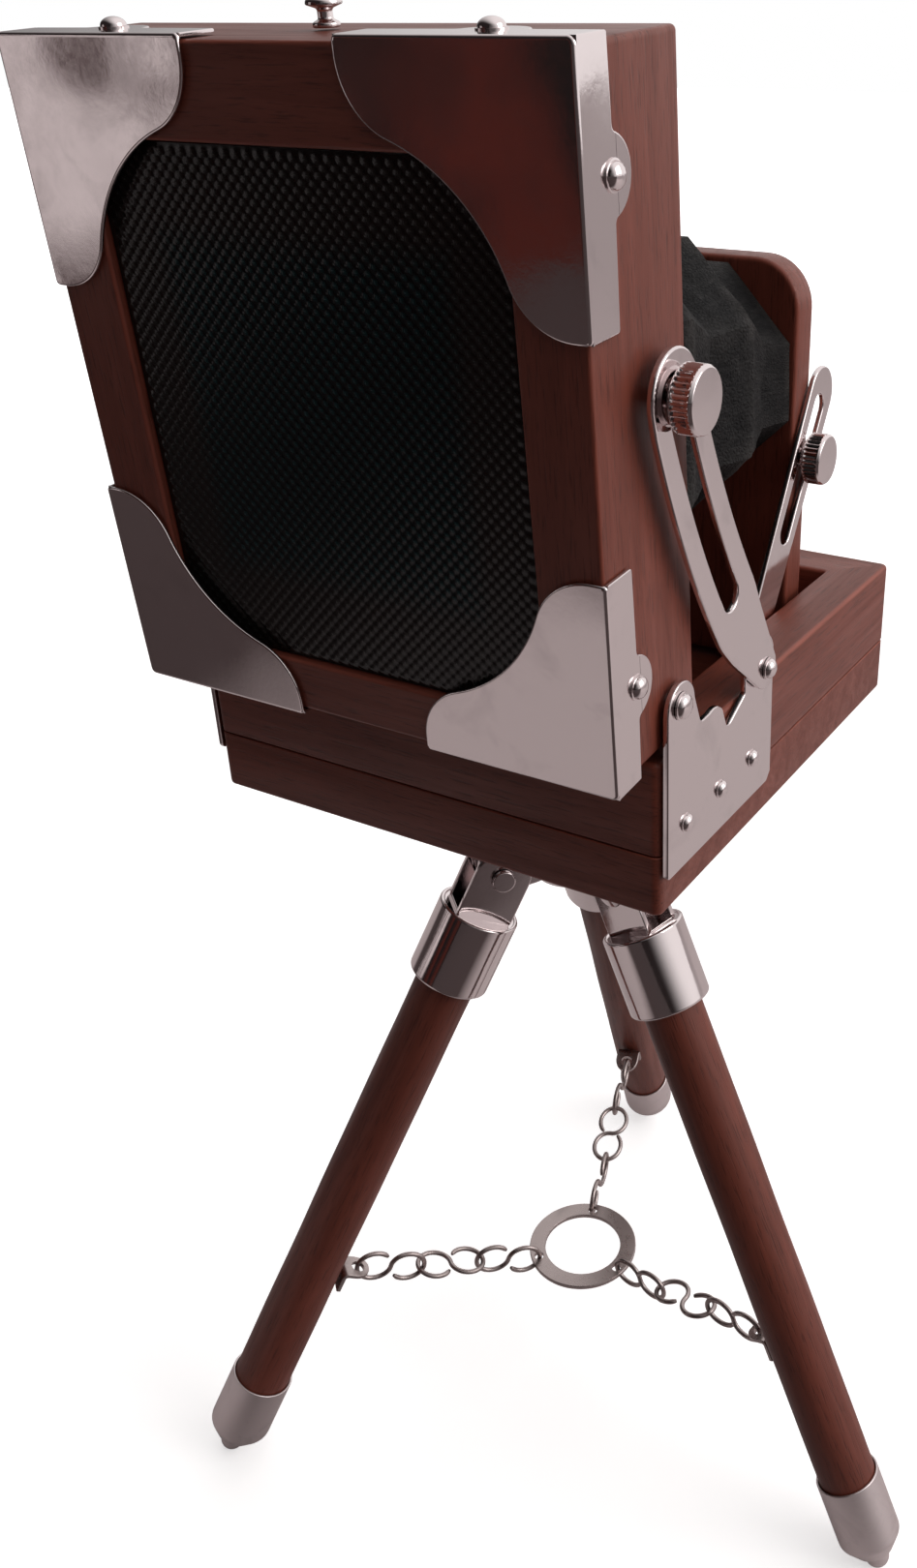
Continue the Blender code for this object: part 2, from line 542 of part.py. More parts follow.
def build_standard(axis, bed, wood, nickel, glass):
    half = STANDARD_W / 2
    top, foot = STANDARD_TOP - HINGE_Z, -STANDARD_FOOT
    r = STANDARD_ROUND
    outline = [(-half, foot), (half, foot), *arc((half - r, top - r), r, 0, 90, 6),
               *arc((-half + r, top - r), r, 90, 180, 6)]
    lens = (0, LENS_Z - HINGE_Z)

    def face(u, v, t):
        return (u, -t, v)

    t = STANDARD_T / 2
    board = new_object("front_standard", plate_mesh(outline, [circle(lens, LENS_HOLE_R, 28)], -t, t, face),
                       wood, axis)
    bores = [turned_mesh(rod_profile(HINGE_R + GAP, -half - 1, half + 1), 16, turned_x(1, 0, 0, 0))]
    for side in SIDES.values():
        bores.append(turned_mesh(rod_profile(SHANK_R + GAP, half - BORE_DEPTH, half + 1), 16,
                                 turned_x(side, 0, 0, FRONT_KNOB_Z - HINGE_Z)))
    add_boolean(board, merged(bores), "DIFFERENCE", axis)
    rod_half = TRAY_INNER_X + BORE_DEPTH - PIN_SHORT
    rod = turned_mesh(rod_profile(HINGE_R, -rod_half, rod_half), 16,
                      turned_x(1, 0, REAR_Y - HINGE_FORWARD, HINGE_Z))
    new_object("standard_hinge_rod", rod, nickel, bed)

    place = turned_y(-t - GAP, 0, lens[1])
    bore = BARREL_BORE_R
    flange = [(BARREL_R + GAP, 0), (FLANGE_R, 0), (FLANGE_R, FLANGE_T * 0.6), (FLANGE_R - FLANGE_CHAMFER, FLANGE_T),
              (BARREL_R + GAP, FLANGE_T)]
    new_object("lens_flange", turned_mesh(flange, 28, place), nickel, axis)
    barrel = [(bore, -BARREL_TAIL), (LENS_HOLE_R - GAP, -BARREL_TAIL), (LENS_HOLE_R - GAP, GAP), (BARREL_R, GAP),
              (BARREL_R, BARREL_L), (bore + BARREL_CHAMFER, BARREL_L), (bore, BARREL_L - BARREL_CHAMFER)]
    new_object("lens_barrel", turned_mesh(barrel, 28, place), nickel, axis)
    ring = plate_mesh(knurled(RING_R, KNOB_TOOTH, RING_TEETH), [circle((0, 0), BARREL_R + GAP, 28)],
                      RING_AT, RING_AT + RING_L, place)
    new_object("lens_ring", ring, nickel, axis)
    bulge = [(LENS_R * math.cos(a), LENS_AT + LENS_T * math.sin(a))
             for a in (math.radians(20 * i) for i in range(5))]
    element = [(0, LENS_AT - LENS_RIM_T), (LENS_R, LENS_AT - LENS_RIM_T), *bulge, (0, LENS_AT + LENS_T)]
    new_object("front_lens", turned_mesh(element, 24, place), glass, axis)


# ---------------------------------------------------------------- bellows

def bellows_ring(fold, inset):
    """One eight-sided fold: a rectangle with cut corners."""
    forward, half, low, high = fold
    half, low, high = half - inset, low + inset, high - inset
    cut = BELLOWS_CHAMFER - inset * 0.5
    return [(x, REAR_Y - forward, z) for x, z in (
        (half, low + cut), (half, high - cut), (half - cut, high), (cut - half, high),
        (-half, high - cut), (-half, low + cut), (cut - half, low), (half - cut, low))]


def build_bellows(bed, leather):
    bm = bmesh.new()
    outside = [[bm.verts.new(p) for p in bellows_ring(fold, 0)] for fold in BELLOWS_FOLDS]
    inside = [[bm.verts.new(p) for p in bellows_ring(fold, BELLOWS_WALL)] for fold in BELLOWS_FOLDS]
    rings = outside + inside[::-1]
    for a, b in zip(rings, rings[1:] + rings[:1]):
        for i in range(len(a)):
            j = (i + 1) % len(a)
            bm.faces.new((a[i], a[j], b[j], b[i]))
    new_object("bellows", bm, leather, bed, smooth=False)


# ---------------------------------------------------------------- tripod

def leg_point(azimuth, x, z):
    """A place in a leg's own space, (outwards, up from its hinge), turned into hub space."""
    s, a = math.radians(LEG_SPLAY), math.radians(azimuth)
    out = LEG_HINGE_R + x * math.cos(s) - z * math.sin(s)
    return Vector((out * math.cos(a), out * math.sin(a), LEG_HINGE_Z + x * math.sin(s) + z * math.cos(s)))


def ground_z():
    """Height of the ground, which the nub of each foot is cut flat by."""
    nub = leg_point(0, 0, -(LEG_LEN - NUB_R))
    return nub.z - NUB_R + NUB_FLAT


def build_hub(root, nickel):
    low = LEG_HINGE_Z - HUB_LUG_R + HUB_FOOT_UP
    profile = [(0, low), (HUB_BOSS_R, low), (HUB_BOSS_R, -GAP - HUB_FLANGE_T), (HUB_FLANGE_R, -GAP - HUB_FLANGE_T),
               (HUB_FLANGE_R, -GAP), (HUB_SPINDLE_R, -GAP), (HUB_SPINDLE_R, HUB_SPINDLE_L), (0, HUB_SPINDLE_L)]
    hub = new_object("tripod_hub", turned_mesh(profile, 32, upright), nickel, root)
    thick = LEAF_GAP / 2 - GAP
    for azimuth in LEG_AZIMUTHS:
        a = math.radians(azimuth)

        def place(u, v, t, a=a):
            return (u * math.cos(a) - t * math.sin(a), u * math.sin(a) + t * math.cos(a), v)

        top = LEG_HINGE_Z + HUB_LUG_R
        lug = [(HUB_LUG_ROOT, low + 2 * HUB_FOOT_UP), (LEG_HINGE_R, LEG_HINGE_Z - HUB_LUG_R),
               *arc((LEG_HINGE_R, LEG_HINGE_Z), HUB_LUG_R, -80, 90, 8), (HUB_BOSS_R, top + HUB_LUG_RISE),
               (HUB_LUG_ROOT, top + HUB_LUG_RISE)]
        bore = circle((LEG_HINGE_R, LEG_HINGE_Z), LEG_PIN_R + GAP, 16)
        add_boolean(hub, plate_mesh(lug, [bore], -thick, thick, place), "UNION", root)


def build_leg(number, azimuth, root, wood, nickel, satin):
    axis = new_axis("leg_%d_axis" % number, leg_point(azimuth, 0, 0), root, (0, -LEG_SPLAY, azimuth))
    tag = "_%d" % number

    tip = -LEG_LEN
    top, end = -SOCKET_TOP - SOCKET_CAP_T - GAP, tip + FOOT_SEAT
    new_object("leg_dowel" + tag, turned_mesh(rod_profile(DOWEL_R, end, top), 24, upright), wood, axis)

    bore, low = DOWEL_R + GAP, -SOCKET_TOP - SOCKET_L
    profile = [(0, -SOCKET_TOP - SOCKET_CAP_T), (bore, -SOCKET_TOP - SOCKET_CAP_T), (bore, low), (SOCKET_R, low),
               (SOCKET_R, -SOCKET_TOP - SOCKET_CHAMFER), (SOCKET_R - SOCKET_CHAMFER, -SOCKET_TOP),
               (0, -SOCKET_TOP)]
    socket = new_object("leg_socket" + tag, turned_mesh(profile, 24, upright), nickel, axis)
    half = LEAF_W / 2
    root_z = -SOCKET_TOP - LEAF_ROOT
    leaf = [(-half, root_z), (half, root_z), *arc((0, 0), half, 0, 180, 10)]
    for side in (-1, 1):
        inner = side * LEAF_GAP / 2
        bm = plate_mesh(leaf, [circle((0, 0), LEG_PIN_R + GAP, 16)], inner, inner + side * LEAF_T,
                        lambda u, v, t: (u, t, v))
        add_boolean(socket, bm, "UNION", axis)

    out = LEAF_GAP / 2 + LEAF_T + GAP
    r, h, nut_end = LEG_PIN_HEAD_R, LEG_PIN_HEAD_H, -out - LEG_PIN_NUT_H
    profile = [(0, nut_end), (LEG_PIN_NUT_R, nut_end), (LEG_PIN_NUT_R, -out), (LEG_PIN_R, -out),
               (LEG_PIN_R, out), (r, out), (r, out + h / 2), (LEG_PIN_CROWN_R, out + h), (0, out + h)]
    pin = turned_mesh(profile, 18, lambda a, b, t: (a, -t, b))
    new_object("leg_pin" + tag, pin, nickel, new_axis("leg_%d_pin_axis" % number, leg_point(azimuth, 0, 0),
                                                      root, (0, -LEG_SPLAY, azimuth)))

    nub_top, cap_top, cone_top = tip + NUB_R, tip + FOOT_TOP, tip + CONE_TOP
    inside = tip + FOOT_SEAT - GAP
    nub = [(NUB_R * math.cos(a), nub_top - NUB_R * math.sin(a)) for a in (math.pi / 8 * i for i in range(4))]
    profile = [(0, inside), (bore, inside), (bore, cap_top), (FOOT_R, cap_top), (FOOT_R, cone_top),
               (CONE_FOOT_R, nub_top + CONE_FOOT_UP), (NUB_R, nub_top + NUB_NECK), *nub, (0, tip)]
    cap = new_object("foot_cap" + tag, turned_mesh(profile, 20, upright), satin, axis)
    ground = bmesh.new()
    bmesh.ops.create_cube(ground, size=40)
    foot = leg_point(azimuth, 0, tip)
    bmesh.ops.translate(ground, vec=(foot.x, foot.y, ground_z() - 20), verts=ground.verts)
    add_boolean(cap, ground, "DIFFERENCE", root)

    x0, z = -DOWEL_R - GAP, -(LEG_LEN - TAB_UP)
    shape = [(x0, z), (x0, z - TAB_BASE), (x0 - TAB_T, z - TAB_BASE), (x0 - TAB_T, z - TAB_T),
             (x0 - TAB_REACH, z - TAB_T), (x0 - TAB_REACH, z)]
    tab = new_object("chain_tab" + tag, plate_mesh(shape, [], -TAB_W / 2, TAB_W / 2, lambda u, v, t: (u, t, v)),
                     nickel, axis, smooth=False)
    eye = turned_mesh(rod_profile(TAB_HOLE_R, z - TAB_T - 1, z + 1), 16, lambda a, b, t: (tab_eye_x() + a, b, t))
    add_boolean(tab, eye, "DIFFERENCE", axis)


def tab_eye_x():
    return -DOWEL_R - GAP - TAB_REACH + TAB_HOLE_IN


def link_length(azimuth):
    """Length of one link between the middles of its end bends, from the chain's whole run."""
    start, end = chain_ends(azimuth)
    return ((end - start).length + 2 * (LINKS - 1) * link_overlap()) / LINKS


def link_overlap():
    """How far each of two hooked links reaches past the point where they meet."""
    return WIRE_R + GAP / 2


def chain_ends(azimuth):
    start = leg_point(azimuth, tab_eye_x(), -(LEG_LEN - TAB_UP) - TAB_T / 2)
    a = math.radians(azimuth)
    end = Vector((SPREADER_HOLE_AT * math.cos(a), SPREADER_HOLE_AT * math.sin(a), SPREADER_Z))
    return start, end


def build_chain(number, azimuth, root, nickel):
    """Figure-eight wire links between a leg's tab and the ring; each is turned a quarter to the next."""
    start, end = chain_ends(azimuth)
    along = (end - start).normalized()
    level = Vector((-math.sin(math.radians(azimuth)), math.cos(math.radians(azimuth)), 0))
    raised = level.cross(along)
    length = link_length(azimuth)
    axis = new_axis("chain_%d_axis" % number, start, root)
    for index in range(LINKS):
        middle = along * (length / 2 + index * (length - 2 * link_overlap()))
        across, over = (raised, level) if index % 2 == 0 else (level, raised)
        curve = bpy.data.curves.new("chain_link_%d_%d" % (number, index + 1), "CURVE")
        curve.dimensions = "3D"
        curve.bevel_depth = WIRE_R * MM
        curve.bevel_resolution = 1
        spline = curve.splines.new("POLY")
        spline.points.add(LINK_STEPS - 1)
        for i in range(LINK_STEPS):
            t = 2 * math.pi * i / LINK_STEPS
            point = (middle + along * (length / 2 * math.cos(t)) + across * (LINK_HALF_W * math.sin(2 * t))
                     + over * (LINK_CROSS * math.sin(t)))
            spline.points[i].co = (*(point * MM), 1)
        spline.use_cyclic_u = True
        curve.materials.append(nickel)
        link = bpy.data.objects.new("chain_link_%d_%d" % (number, index + 1), curve)
        bpy.context.scene.collection.objects.link(link)
        link.parent = axis


def build_spreader(root, nickel):
    holes = []
    for azimuth in LEG_AZIMUTHS:
        a = math.radians(azimuth)
        holes.append(circle((SPREADER_HOLE_AT * math.cos(a), SPREADER_HOLE_AT * math.sin(a)),
                            SPREADER_HOLE_R, 10))
    t = SPREADER_T / 2
    bm = plate_mesh(circle((0, 0), SPREADER_R, 36), [circle((0, 0), SPREADER_BORE_R, 36), *holes], -t, t, upright)
    new_object("spreader_ring", bm, nickel, new_axis("spreader_axis", (0, 0, SPREADER_Z), root))


# ---------------------------------------------------------------- the whole camera

def clear_scene():
    for obj in list(bpy.data.objects):
        bpy.data.objects.remove(obj, do_unlink=True)


def stand_on_origin(root):
    """Moves everything so that the origin lies under the middle of the whole object, on the ground."""
    graph = bpy.context.evaluated_depsgraph_get()
    low, high = Vector((1e9,) * 3), Vector((-1e9,) * 3)
    for obj in bpy.context.scene.objects:
        if obj.type == "EMPTY" or obj.hide_render:
            continue
        evaluated = obj.evaluated_get(graph)
        mesh = evaluated.to_mesh()
        for vertex in mesh.vertices:
            point = evaluated.matrix_world @ vertex.co
            low = Vector(map(min, low, point))
            high = Vector(map(max, high, point))
        evaluated.to_mesh_clear()
    root.location = (-(low.x + high.x) / 2, -(low.y + high.y) / 2, -low.z)


def build_camera():
    clear_scene()
    wood = make_material("stained_wood", (0.105, 0.032, 0.02), 0.42)
    dark = make_material("dark_wood", (0.03, 0.012, 0.008), 0.6)
    nickel = make_material("nickel", (0.72, 0.66, 0.66), 0.22, 1.0)
    satin = make_material("satin_nickel", (0.66, 0.6, 0.6), 0.4, 1.0)
    leather = make_material("leather", (0.02, 0.02, 0.02), 0.6)
    glass = make_material("patterned_glass", (0.05, 0.08, 0.08), 0.2, 0.0, 0.6)
    lens_glass = make_material("lens_glass", (0.1, 0.12, 0.16), 0.05, 0.0, 0.8)

    root = new_axis("camera_root", (0, 0, 0))
    build_hub(root, nickel)
    for number, azimuth in enumerate(LEG_AZIMUTHS, 1):
        build_leg(number, azimuth, root, wood, nickel, satin)
        build_chain(number, azimuth, root, nickel)
    build_spreader(root, nickel)

    bed = new_axis("pan_axis", (0, 0, 0), root)
    build_tray(bed, wood)
    build_side_plates(bed, nickel)
    build_bellows(bed, leather)

    frame_axis = new_axis("rear_frame_axis", (0, REAR_Y - PIVOT_FORWARD, PIVOT_Z), bed, (-FRAME_LEAN, 0, 0))
    build_rear_frame(frame_axis, wood, dark, glass, nickel)
    build_corners(frame_axis, nickel)
    forward, up = REAR_STRUT_PIVOT
    build_rear_struts(new_axis("rear_strut_axis", (0, REAR_Y - forward, up), bed), nickel)

    standard_axis = new_axis("front_standard_axis", (0, REAR_Y - HINGE_FORWARD, HINGE_Z), bed)
    build_standard(standard_axis, bed, wood, nickel, lens_glass)
    forward, up = FRONT_STRUT_PIVOT
    build_front_struts(new_axis("front_strut_axis", (0, REAR_Y - forward, up), bed), bed, nickel)

    clamp_y, clamp_z = in_frame(*frame_place(clamp_point()))
    for name, side in SIDES.items():
        rear = new_axis("rear_knob_%s_axis" % name, (0, clamp_y, clamp_z), frame_axis)
        build_knob("rear_knob_" + name, side, rear, REAR_STRUT_X + STRUT_T + GAP,
                   FRAME_SIDE_X - BORE_DEPTH + PIN_SHORT, nickel)
        front = new_axis("front_knob_%s_axis" % name, (0, 0, FRONT_KNOB_Z - HINGE_Z), standard_axis)
        build_knob("front_knob_" + name, side, front, FRONT_STRUT_X + STRUT_T + GAP,
                   STANDARD_W / 2 - BORE_DEPTH + PIN_SHORT, nickel)
    bpy.context.view_layer.update()
    stand_on_origin(root)


build_camera()
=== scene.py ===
"""Finished surfaces of a small wooden view camera on a tripod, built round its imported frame.

Sizes are in millimetres and MM turns them into metres. "Forward" runs from the tray's back face
towards the lens, and left and right are those of a person who stands behind the glass.
"""
import json
import math

import bmesh
import bpy
import numpy as np
from bpy.props import FloatProperty, FloatVectorProperty, IntProperty, PointerProperty
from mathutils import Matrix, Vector


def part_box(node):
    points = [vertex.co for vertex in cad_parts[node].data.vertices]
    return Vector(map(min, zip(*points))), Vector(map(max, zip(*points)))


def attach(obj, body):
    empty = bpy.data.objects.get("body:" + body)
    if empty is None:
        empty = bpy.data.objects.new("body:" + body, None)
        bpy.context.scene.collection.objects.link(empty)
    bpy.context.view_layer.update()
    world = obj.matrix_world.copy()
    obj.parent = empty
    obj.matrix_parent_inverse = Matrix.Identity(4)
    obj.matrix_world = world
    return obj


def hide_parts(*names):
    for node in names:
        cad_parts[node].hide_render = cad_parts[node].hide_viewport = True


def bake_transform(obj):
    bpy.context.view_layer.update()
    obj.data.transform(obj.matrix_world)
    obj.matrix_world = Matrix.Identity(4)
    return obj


bl_info = {
    "name": "Folding View Camera",
    "version": (1, 0, 0),
    "blender": (4, 5, 0),
    "location": "3D View > Sidebar > View Camera",
    "description": "Builds the wood, metal, leather and glass of a small view camera on a tripod",
    "category": "Add Mesh",
}

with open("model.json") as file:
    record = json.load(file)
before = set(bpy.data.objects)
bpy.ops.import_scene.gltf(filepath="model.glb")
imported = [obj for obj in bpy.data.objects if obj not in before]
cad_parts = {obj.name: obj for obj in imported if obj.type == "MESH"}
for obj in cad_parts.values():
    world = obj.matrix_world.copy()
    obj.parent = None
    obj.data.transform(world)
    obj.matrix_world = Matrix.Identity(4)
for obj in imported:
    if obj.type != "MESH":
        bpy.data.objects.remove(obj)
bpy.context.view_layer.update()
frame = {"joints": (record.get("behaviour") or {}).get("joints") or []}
JOINTS = {joint["name"]: joint for joint in frame["joints"]}
MM = 0.001
GAP = 0.3                    # air between two pieces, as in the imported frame
WELD, SLIVER = 1e-6, 1e-7    # metres: nearer points become one, shorter edges are taken out
SHARP = 35                   # degrees: faces that meet at more than this shade as an edge
SIDES = {"left": 1, "right": -1}

TRAY_LOW, TRAY_HIGH = (np.array(corner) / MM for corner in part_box("tray_floor"))
RIM_LOW, RIM_HIGH = (np.array(corner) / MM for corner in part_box("tray_rim"))
TRAY_W, TRAY_D = TRAY_HIGH[0] - TRAY_LOW[0], TRAY_HIGH[1] - TRAY_LOW[1]
TRAY_WALL = 10.1
FLOOR_TOP, RIM_FOOT, RIM_TOP = (
    float(z - TRAY_LOW[2]) for z in (TRAY_HIGH[2], RIM_LOW[2], RIM_HIGH[2]))


# ---------------------------------------------------------------- spaces

class Space:
    """A place and three directions: a point (a, b, c) in it lies at origin + a A + b B + c C."""

    def __init__(self, origin, axes):
        self.origin, self.axes = np.array(origin, float), np.array(axes, float)

    def __call__(self, a, b, c):
        a, b, c = np.broadcast_arrays(np.asarray(a, float), b, c)
        return self.origin + np.stack([a, b, c], -1) @ self.axes


def joint_at(name):
    """A joint's place in millimetres."""
    return np.array(JOINTS[name]["pos_m"]) / MM


CENTRE_X = (TRAY_LOW[0] + TRAY_HIGH[0]) / 2
BED = Space((CENTRE_X, TRAY_HIGH[1], TRAY_LOW[2]), ((1, 0, 0), (0, -1, 0), (0, 0, 1)))
LEAN = math.radians(4.2)
PIVOT_IN_FRAME = (16.9, 6.25)           # forward of the frame's back, above its foot
FRAME_FORWARD = np.array((0, -math.cos(LEAN), math.sin(LEAN)))
FRAME_UP = np.array((0, math.sin(LEAN), math.cos(LEAN)))
REAR = Space(joint_at("rear_frame_fold") - FRAME_FORWARD * PIVOT_IN_FRAME[0] - FRAME_UP * PIVOT_IN_FRAME[1],
             ((1, 0, 0), FRAME_FORWARD, FRAME_UP))
LEG_SPLAY = math.radians(26.5)
MITRE_OFFSET = 3.45          # about half of how much longer than wide the tray and rear frame are


def in_bed(point):
    """A world point as (x, forward, up) over the tray."""
    return (np.array(point) - BED.origin) @ BED.axes.T


def leg_space(number):
    """(outwards, sideways, up along the leg) from the leg's hinge."""
    joint = JOINTS["leg_%d_fold" % number]
    side = np.array(joint["axis"])
    out = np.array((side[1], -side[0], 0))
    c, s = math.cos(LEG_SPLAY), math.sin(LEG_SPLAY)
    up = np.array((0, 0, 1))
    return Space(joint_at("leg_%d_fold" % number), (out * c + up * s, side, up * c - out * s))


# ---------------------------------------------------------------- outlines, as arrays of (u, v)

def arc(center, radius, start, end, steps=16):
    """Points at radius from a centre, from one angle in degrees to another."""
    a = np.radians(np.linspace(start, end, steps + 1))
    return np.stack([center[0] + radius * np.cos(a), center[1] + radius * np.sin(a)], -1)


def rounded(corners, radii, steps=5, closed=True, ease=0.25):
    """Rounds each corner by the arc that touches both of its sides, with one more point just
    before and after the arc, so that the flats shade flat. A radius of 0 keeps the point."""
    corners = np.array(corners, float)
    radii = np.broadcast_to(radii, len(corners))
    made = []
    for i, (point, radius) in enumerate(zip(corners, radii)):
        if radius <= 0 or (not closed and i in (0, len(corners) - 1)):
            made.append(point[None])
            continue
        back, ahead = corners[i - 1] - point, corners[(i + 1) % len(corners)] - point
        back, ahead = back / np.linalg.norm(back), ahead / np.linalg.norm(ahead)
        half = math.acos(np.clip(back @ ahead, -1, 1)) / 2
        reach = radius / math.tan(half)
        center = point + (back + ahead) / np.linalg.norm(back + ahead) * radius / math.sin(half)
        first, last = point + back * reach - center, point + ahead * reach - center
        turn = math.pi - 2 * half
        s = np.linspace(0, 1, steps + 1)[:, None]
        bend = center + (np.sin((1 - s) * turn) * first + np.sin(s * turn) * last) / math.sin(turn)
        extra = ease * radius
        made += [(point + back * (reach + extra))[None], bend, (point + ahead * (reach + extra))[None]]
    return np.concatenate(made)


def rectangle(u0, v0, u1, v1, radius, steps=5):
    """A rectangle with rounded corners, from its low corner to its high one."""
    return rounded([(u1, v0), (u1, v1), (u0, v1), (u0, v0)], radius, steps)


def profile(*corners, steps=4, closed=False):
    """An outline to turn, from corners of (radius, height, how round the corner is)."""
    corners = np.array(corners, float)
    return rounded(corners[:, :2], corners[:, 2], steps, closed)


def rod(radius, low, high, edge=0.0):
    """The profile of a plain rod."""
    return rounded([(0, low), (radius, low), (radius, high), (0, high)], edge, closed=False)


def dense(loop, longest):
    """Adds points along the long straight stretches of a closed outline."""
    made = []
    for a, b in zip(loop, np.roll(loop, -1, 0)):
        count = max(1, math.ceil(np.linalg.norm(b - a) / longest))
        made.append(a + (b - a) * np.arange(count)[:, None] / count)
    return np.concatenate(made)


def round_hole(outer, center, radius):
    """A circle with one point for each point of the outline round it, in the same direction."""
    around = outer - np.array(center)
    return np.array(center) + radius * around / np.linalg.norm(around, axis=1, keepdims=True)


def outward(loop):
    """The outward normal at each point of a closed outline: its tangent turned a quarter."""
    along = np.roll(loop, -1, 0) - np.roll(loop, 1, 0)
    normal = np.stack([along[:, 1], -along[:, 0]], -1)
    normal /= np.maximum(np.linalg.norm(normal, axis=1, keepdims=True), 1e-9)
    u, v = loop[:, 0], loop[:, 1]
    area = np.sum(u * np.roll(v, -1) - v * np.roll(u, -1))
    return normal if area > 0 else -normal


# ---------------------------------------------------------------- surfaces, as grids of points

class Shell:
    """A grid of points (rows, columns, 3), with where the wood's grain or the leather's pattern
    lies at each point, in metres, and how much the surface is worn there; on the glass the same
    value is the height of its pressed points, which the glass paints lighter as a painted highlight.
    With caps, one flat face closes its first row and one its last row."""

    def __init__(self, points, wrap_rows=False, wrap_columns=False, grain=None, wear_and_highlight=0.0, caps=False):
        self.points = points
        self.wrap, self.caps = (wrap_rows, wrap_columns), caps
        self.grain = points * MM if grain is None else grain
        self.wear_and_highlight = np.broadcast_to(wear_and_highlight, points.shape[:2])

    def faces(self):
        """One four-sided face between each four neighbouring points, as rows of four indices."""
        rows, columns = self.points.shape[:2]
        r = np.arange(rows if self.wrap[0] else rows - 1)[:, None]
        c = np.arange(columns if self.wrap[1] else columns - 1)[None, :]
        below, right = (r + 1) % rows, (c + 1) % columns
        corners = [r * columns + c, r * columns + right, below * columns + right, below * columns + c]
        return np.stack(np.broadcast_arrays(*corners), -1).reshape(-1, 4)

    def cap_faces(self):
        """Its first and last rows, each as one flat face."""
        rows, columns = self.points.shape[:2]
        return [np.arange(columns)[::-1], np.arange(columns) + (rows - 1) * columns] if self.caps else []


def edge_rows(loop, low, high, round_low, round_high, inwards=1, steps=4):
    """The rows of a plate's edge, from its low face round to its high face: at an angle t along a
    rounded edge of radius r, the point lies r (1 - sin t) inside the outline and
    r (1 - cos t) from the face. One more row on each face keeps the face's shading flat."""
    normal = outward(loop) * inwards
    t = np.linspace(0, math.pi / 2, steps + 1)[:, None]
    rounds = [np.broadcast_to(np.asarray(r, float), len(loop)) for r in (round_low, round_high)]
    insets = [r * (1 - np.sin(t)) for r in rounds]
    insets = np.concatenate([rounds[0][None] * 1.3, insets[0], insets[1][::-1], rounds[1][None] * 1.3])
    depths = [r * (1 - np.cos(t)) for r in rounds]
    flat = np.zeros((1, len(loop)))
    depths = np.concatenate([flat + low, low + depths[0], high - depths[1][::-1], flat + high])
    worn = np.concatenate([[0.0], np.sin(2 * t[:, 0]), np.sin(2 * t[::-1, 0]), [0.0]])
    return loop[None] - normal[None] * insets[..., None], depths, worn


def plate(outer, low, high, place, edge=0.3, edge_high=None, hole=None, grain=None):
    """A solid between two faces: its outline, or the band between its outline and a hole that has
    one point for each point of the outline."""
    edge_high = edge if edge_high is None else edge_high
    rows, depths, worn = edge_rows(outer, low, high, edge, edge_high)
    if hole is not None:
        small, small_high = np.min(edge), np.min(edge_high)
        back, back_depths, back_worn = edge_rows(hole, low, high, small, small_high, inwards=-1)
        rows, depths = np.concatenate([rows, back[::-1]]), np.concatenate([depths, back_depths[::-1]])
        worn = np.concatenate([worn, back_worn[::-1]])
    points = place(rows[..., 0], rows[..., 1], depths)
    return Shell(points, hole is not None, True, None if grain is None else grain(points), worn[:, None],
                 caps=hole is None)


def turned(profile, place, steps=64, shape=None, closed=False, grain=None):
    """Turns a profile of (radius, height) round an axis: (r cos a, r sin a, h). shape may change
    the radius by angle and height. place takes (a, b, h)."""
    a = np.linspace(0, 2 * math.pi, steps, endpoint=False)[None]
    radius, height = profile[:, :1] + 0 * a, profile[:, 1:] + 0 * a
    if shape:
        radius = shape(radius, a, height)
    points = place(radius * np.cos(a), radius * np.sin(a), height)
    return Shell(points, closed, True, None if grain is None else grain(points))


def carried(path, side, section, taper=None):
    """Carries a closed section (u, v) along a path: path + u S + v N, where S is the side
    direction made square to the path and N is square to both. A taper scales u and v along the
    path. Its ends close on the path."""
    along = np.gradient(path, axis=0)
    along /= np.linalg.norm(along, axis=1, keepdims=True)
    side = side - np.sum(side * along, 1, keepdims=True) * along
    side /= np.linalg.norm(side, axis=1, keepdims=True)
    over = np.cross(along, side)
    size = np.ones((len(path), 2)) if taper is None else taper
    points = (path[:, None] + (size[:, None, :1] * section[None, :, :1]) * side[:, None]
              + (size[:, None, 1:] * section[None, :, 1:]) * over[:, None])
    ends = [np.repeat(path[i][None, None], len(section), 1) for i in (0, -1)]
    return Shell(np.concatenate([ends[0], points, ends[1]]), False, True)


def dome(radius, height, base, crown=5):
    """Half an ellipse from the rim to the crown, closed below at its base."""
    a = np.radians(np.linspace(0, 90, crown + 1))
    rim = np.stack([radius * np.cos(a), base + height * np.sin(a)], -1)
    return np.concatenate([[(0, base - 0.2), (radius, base - 0.2)], rim])


def grain_along(space, first, second, third):
    """Pattern coordinates in metres: the third named direction of the space is along the grain."""
    order = [first, second, third]
    return lambda points: ((points - space.origin) @ space.axes.T)[..., order] * MM


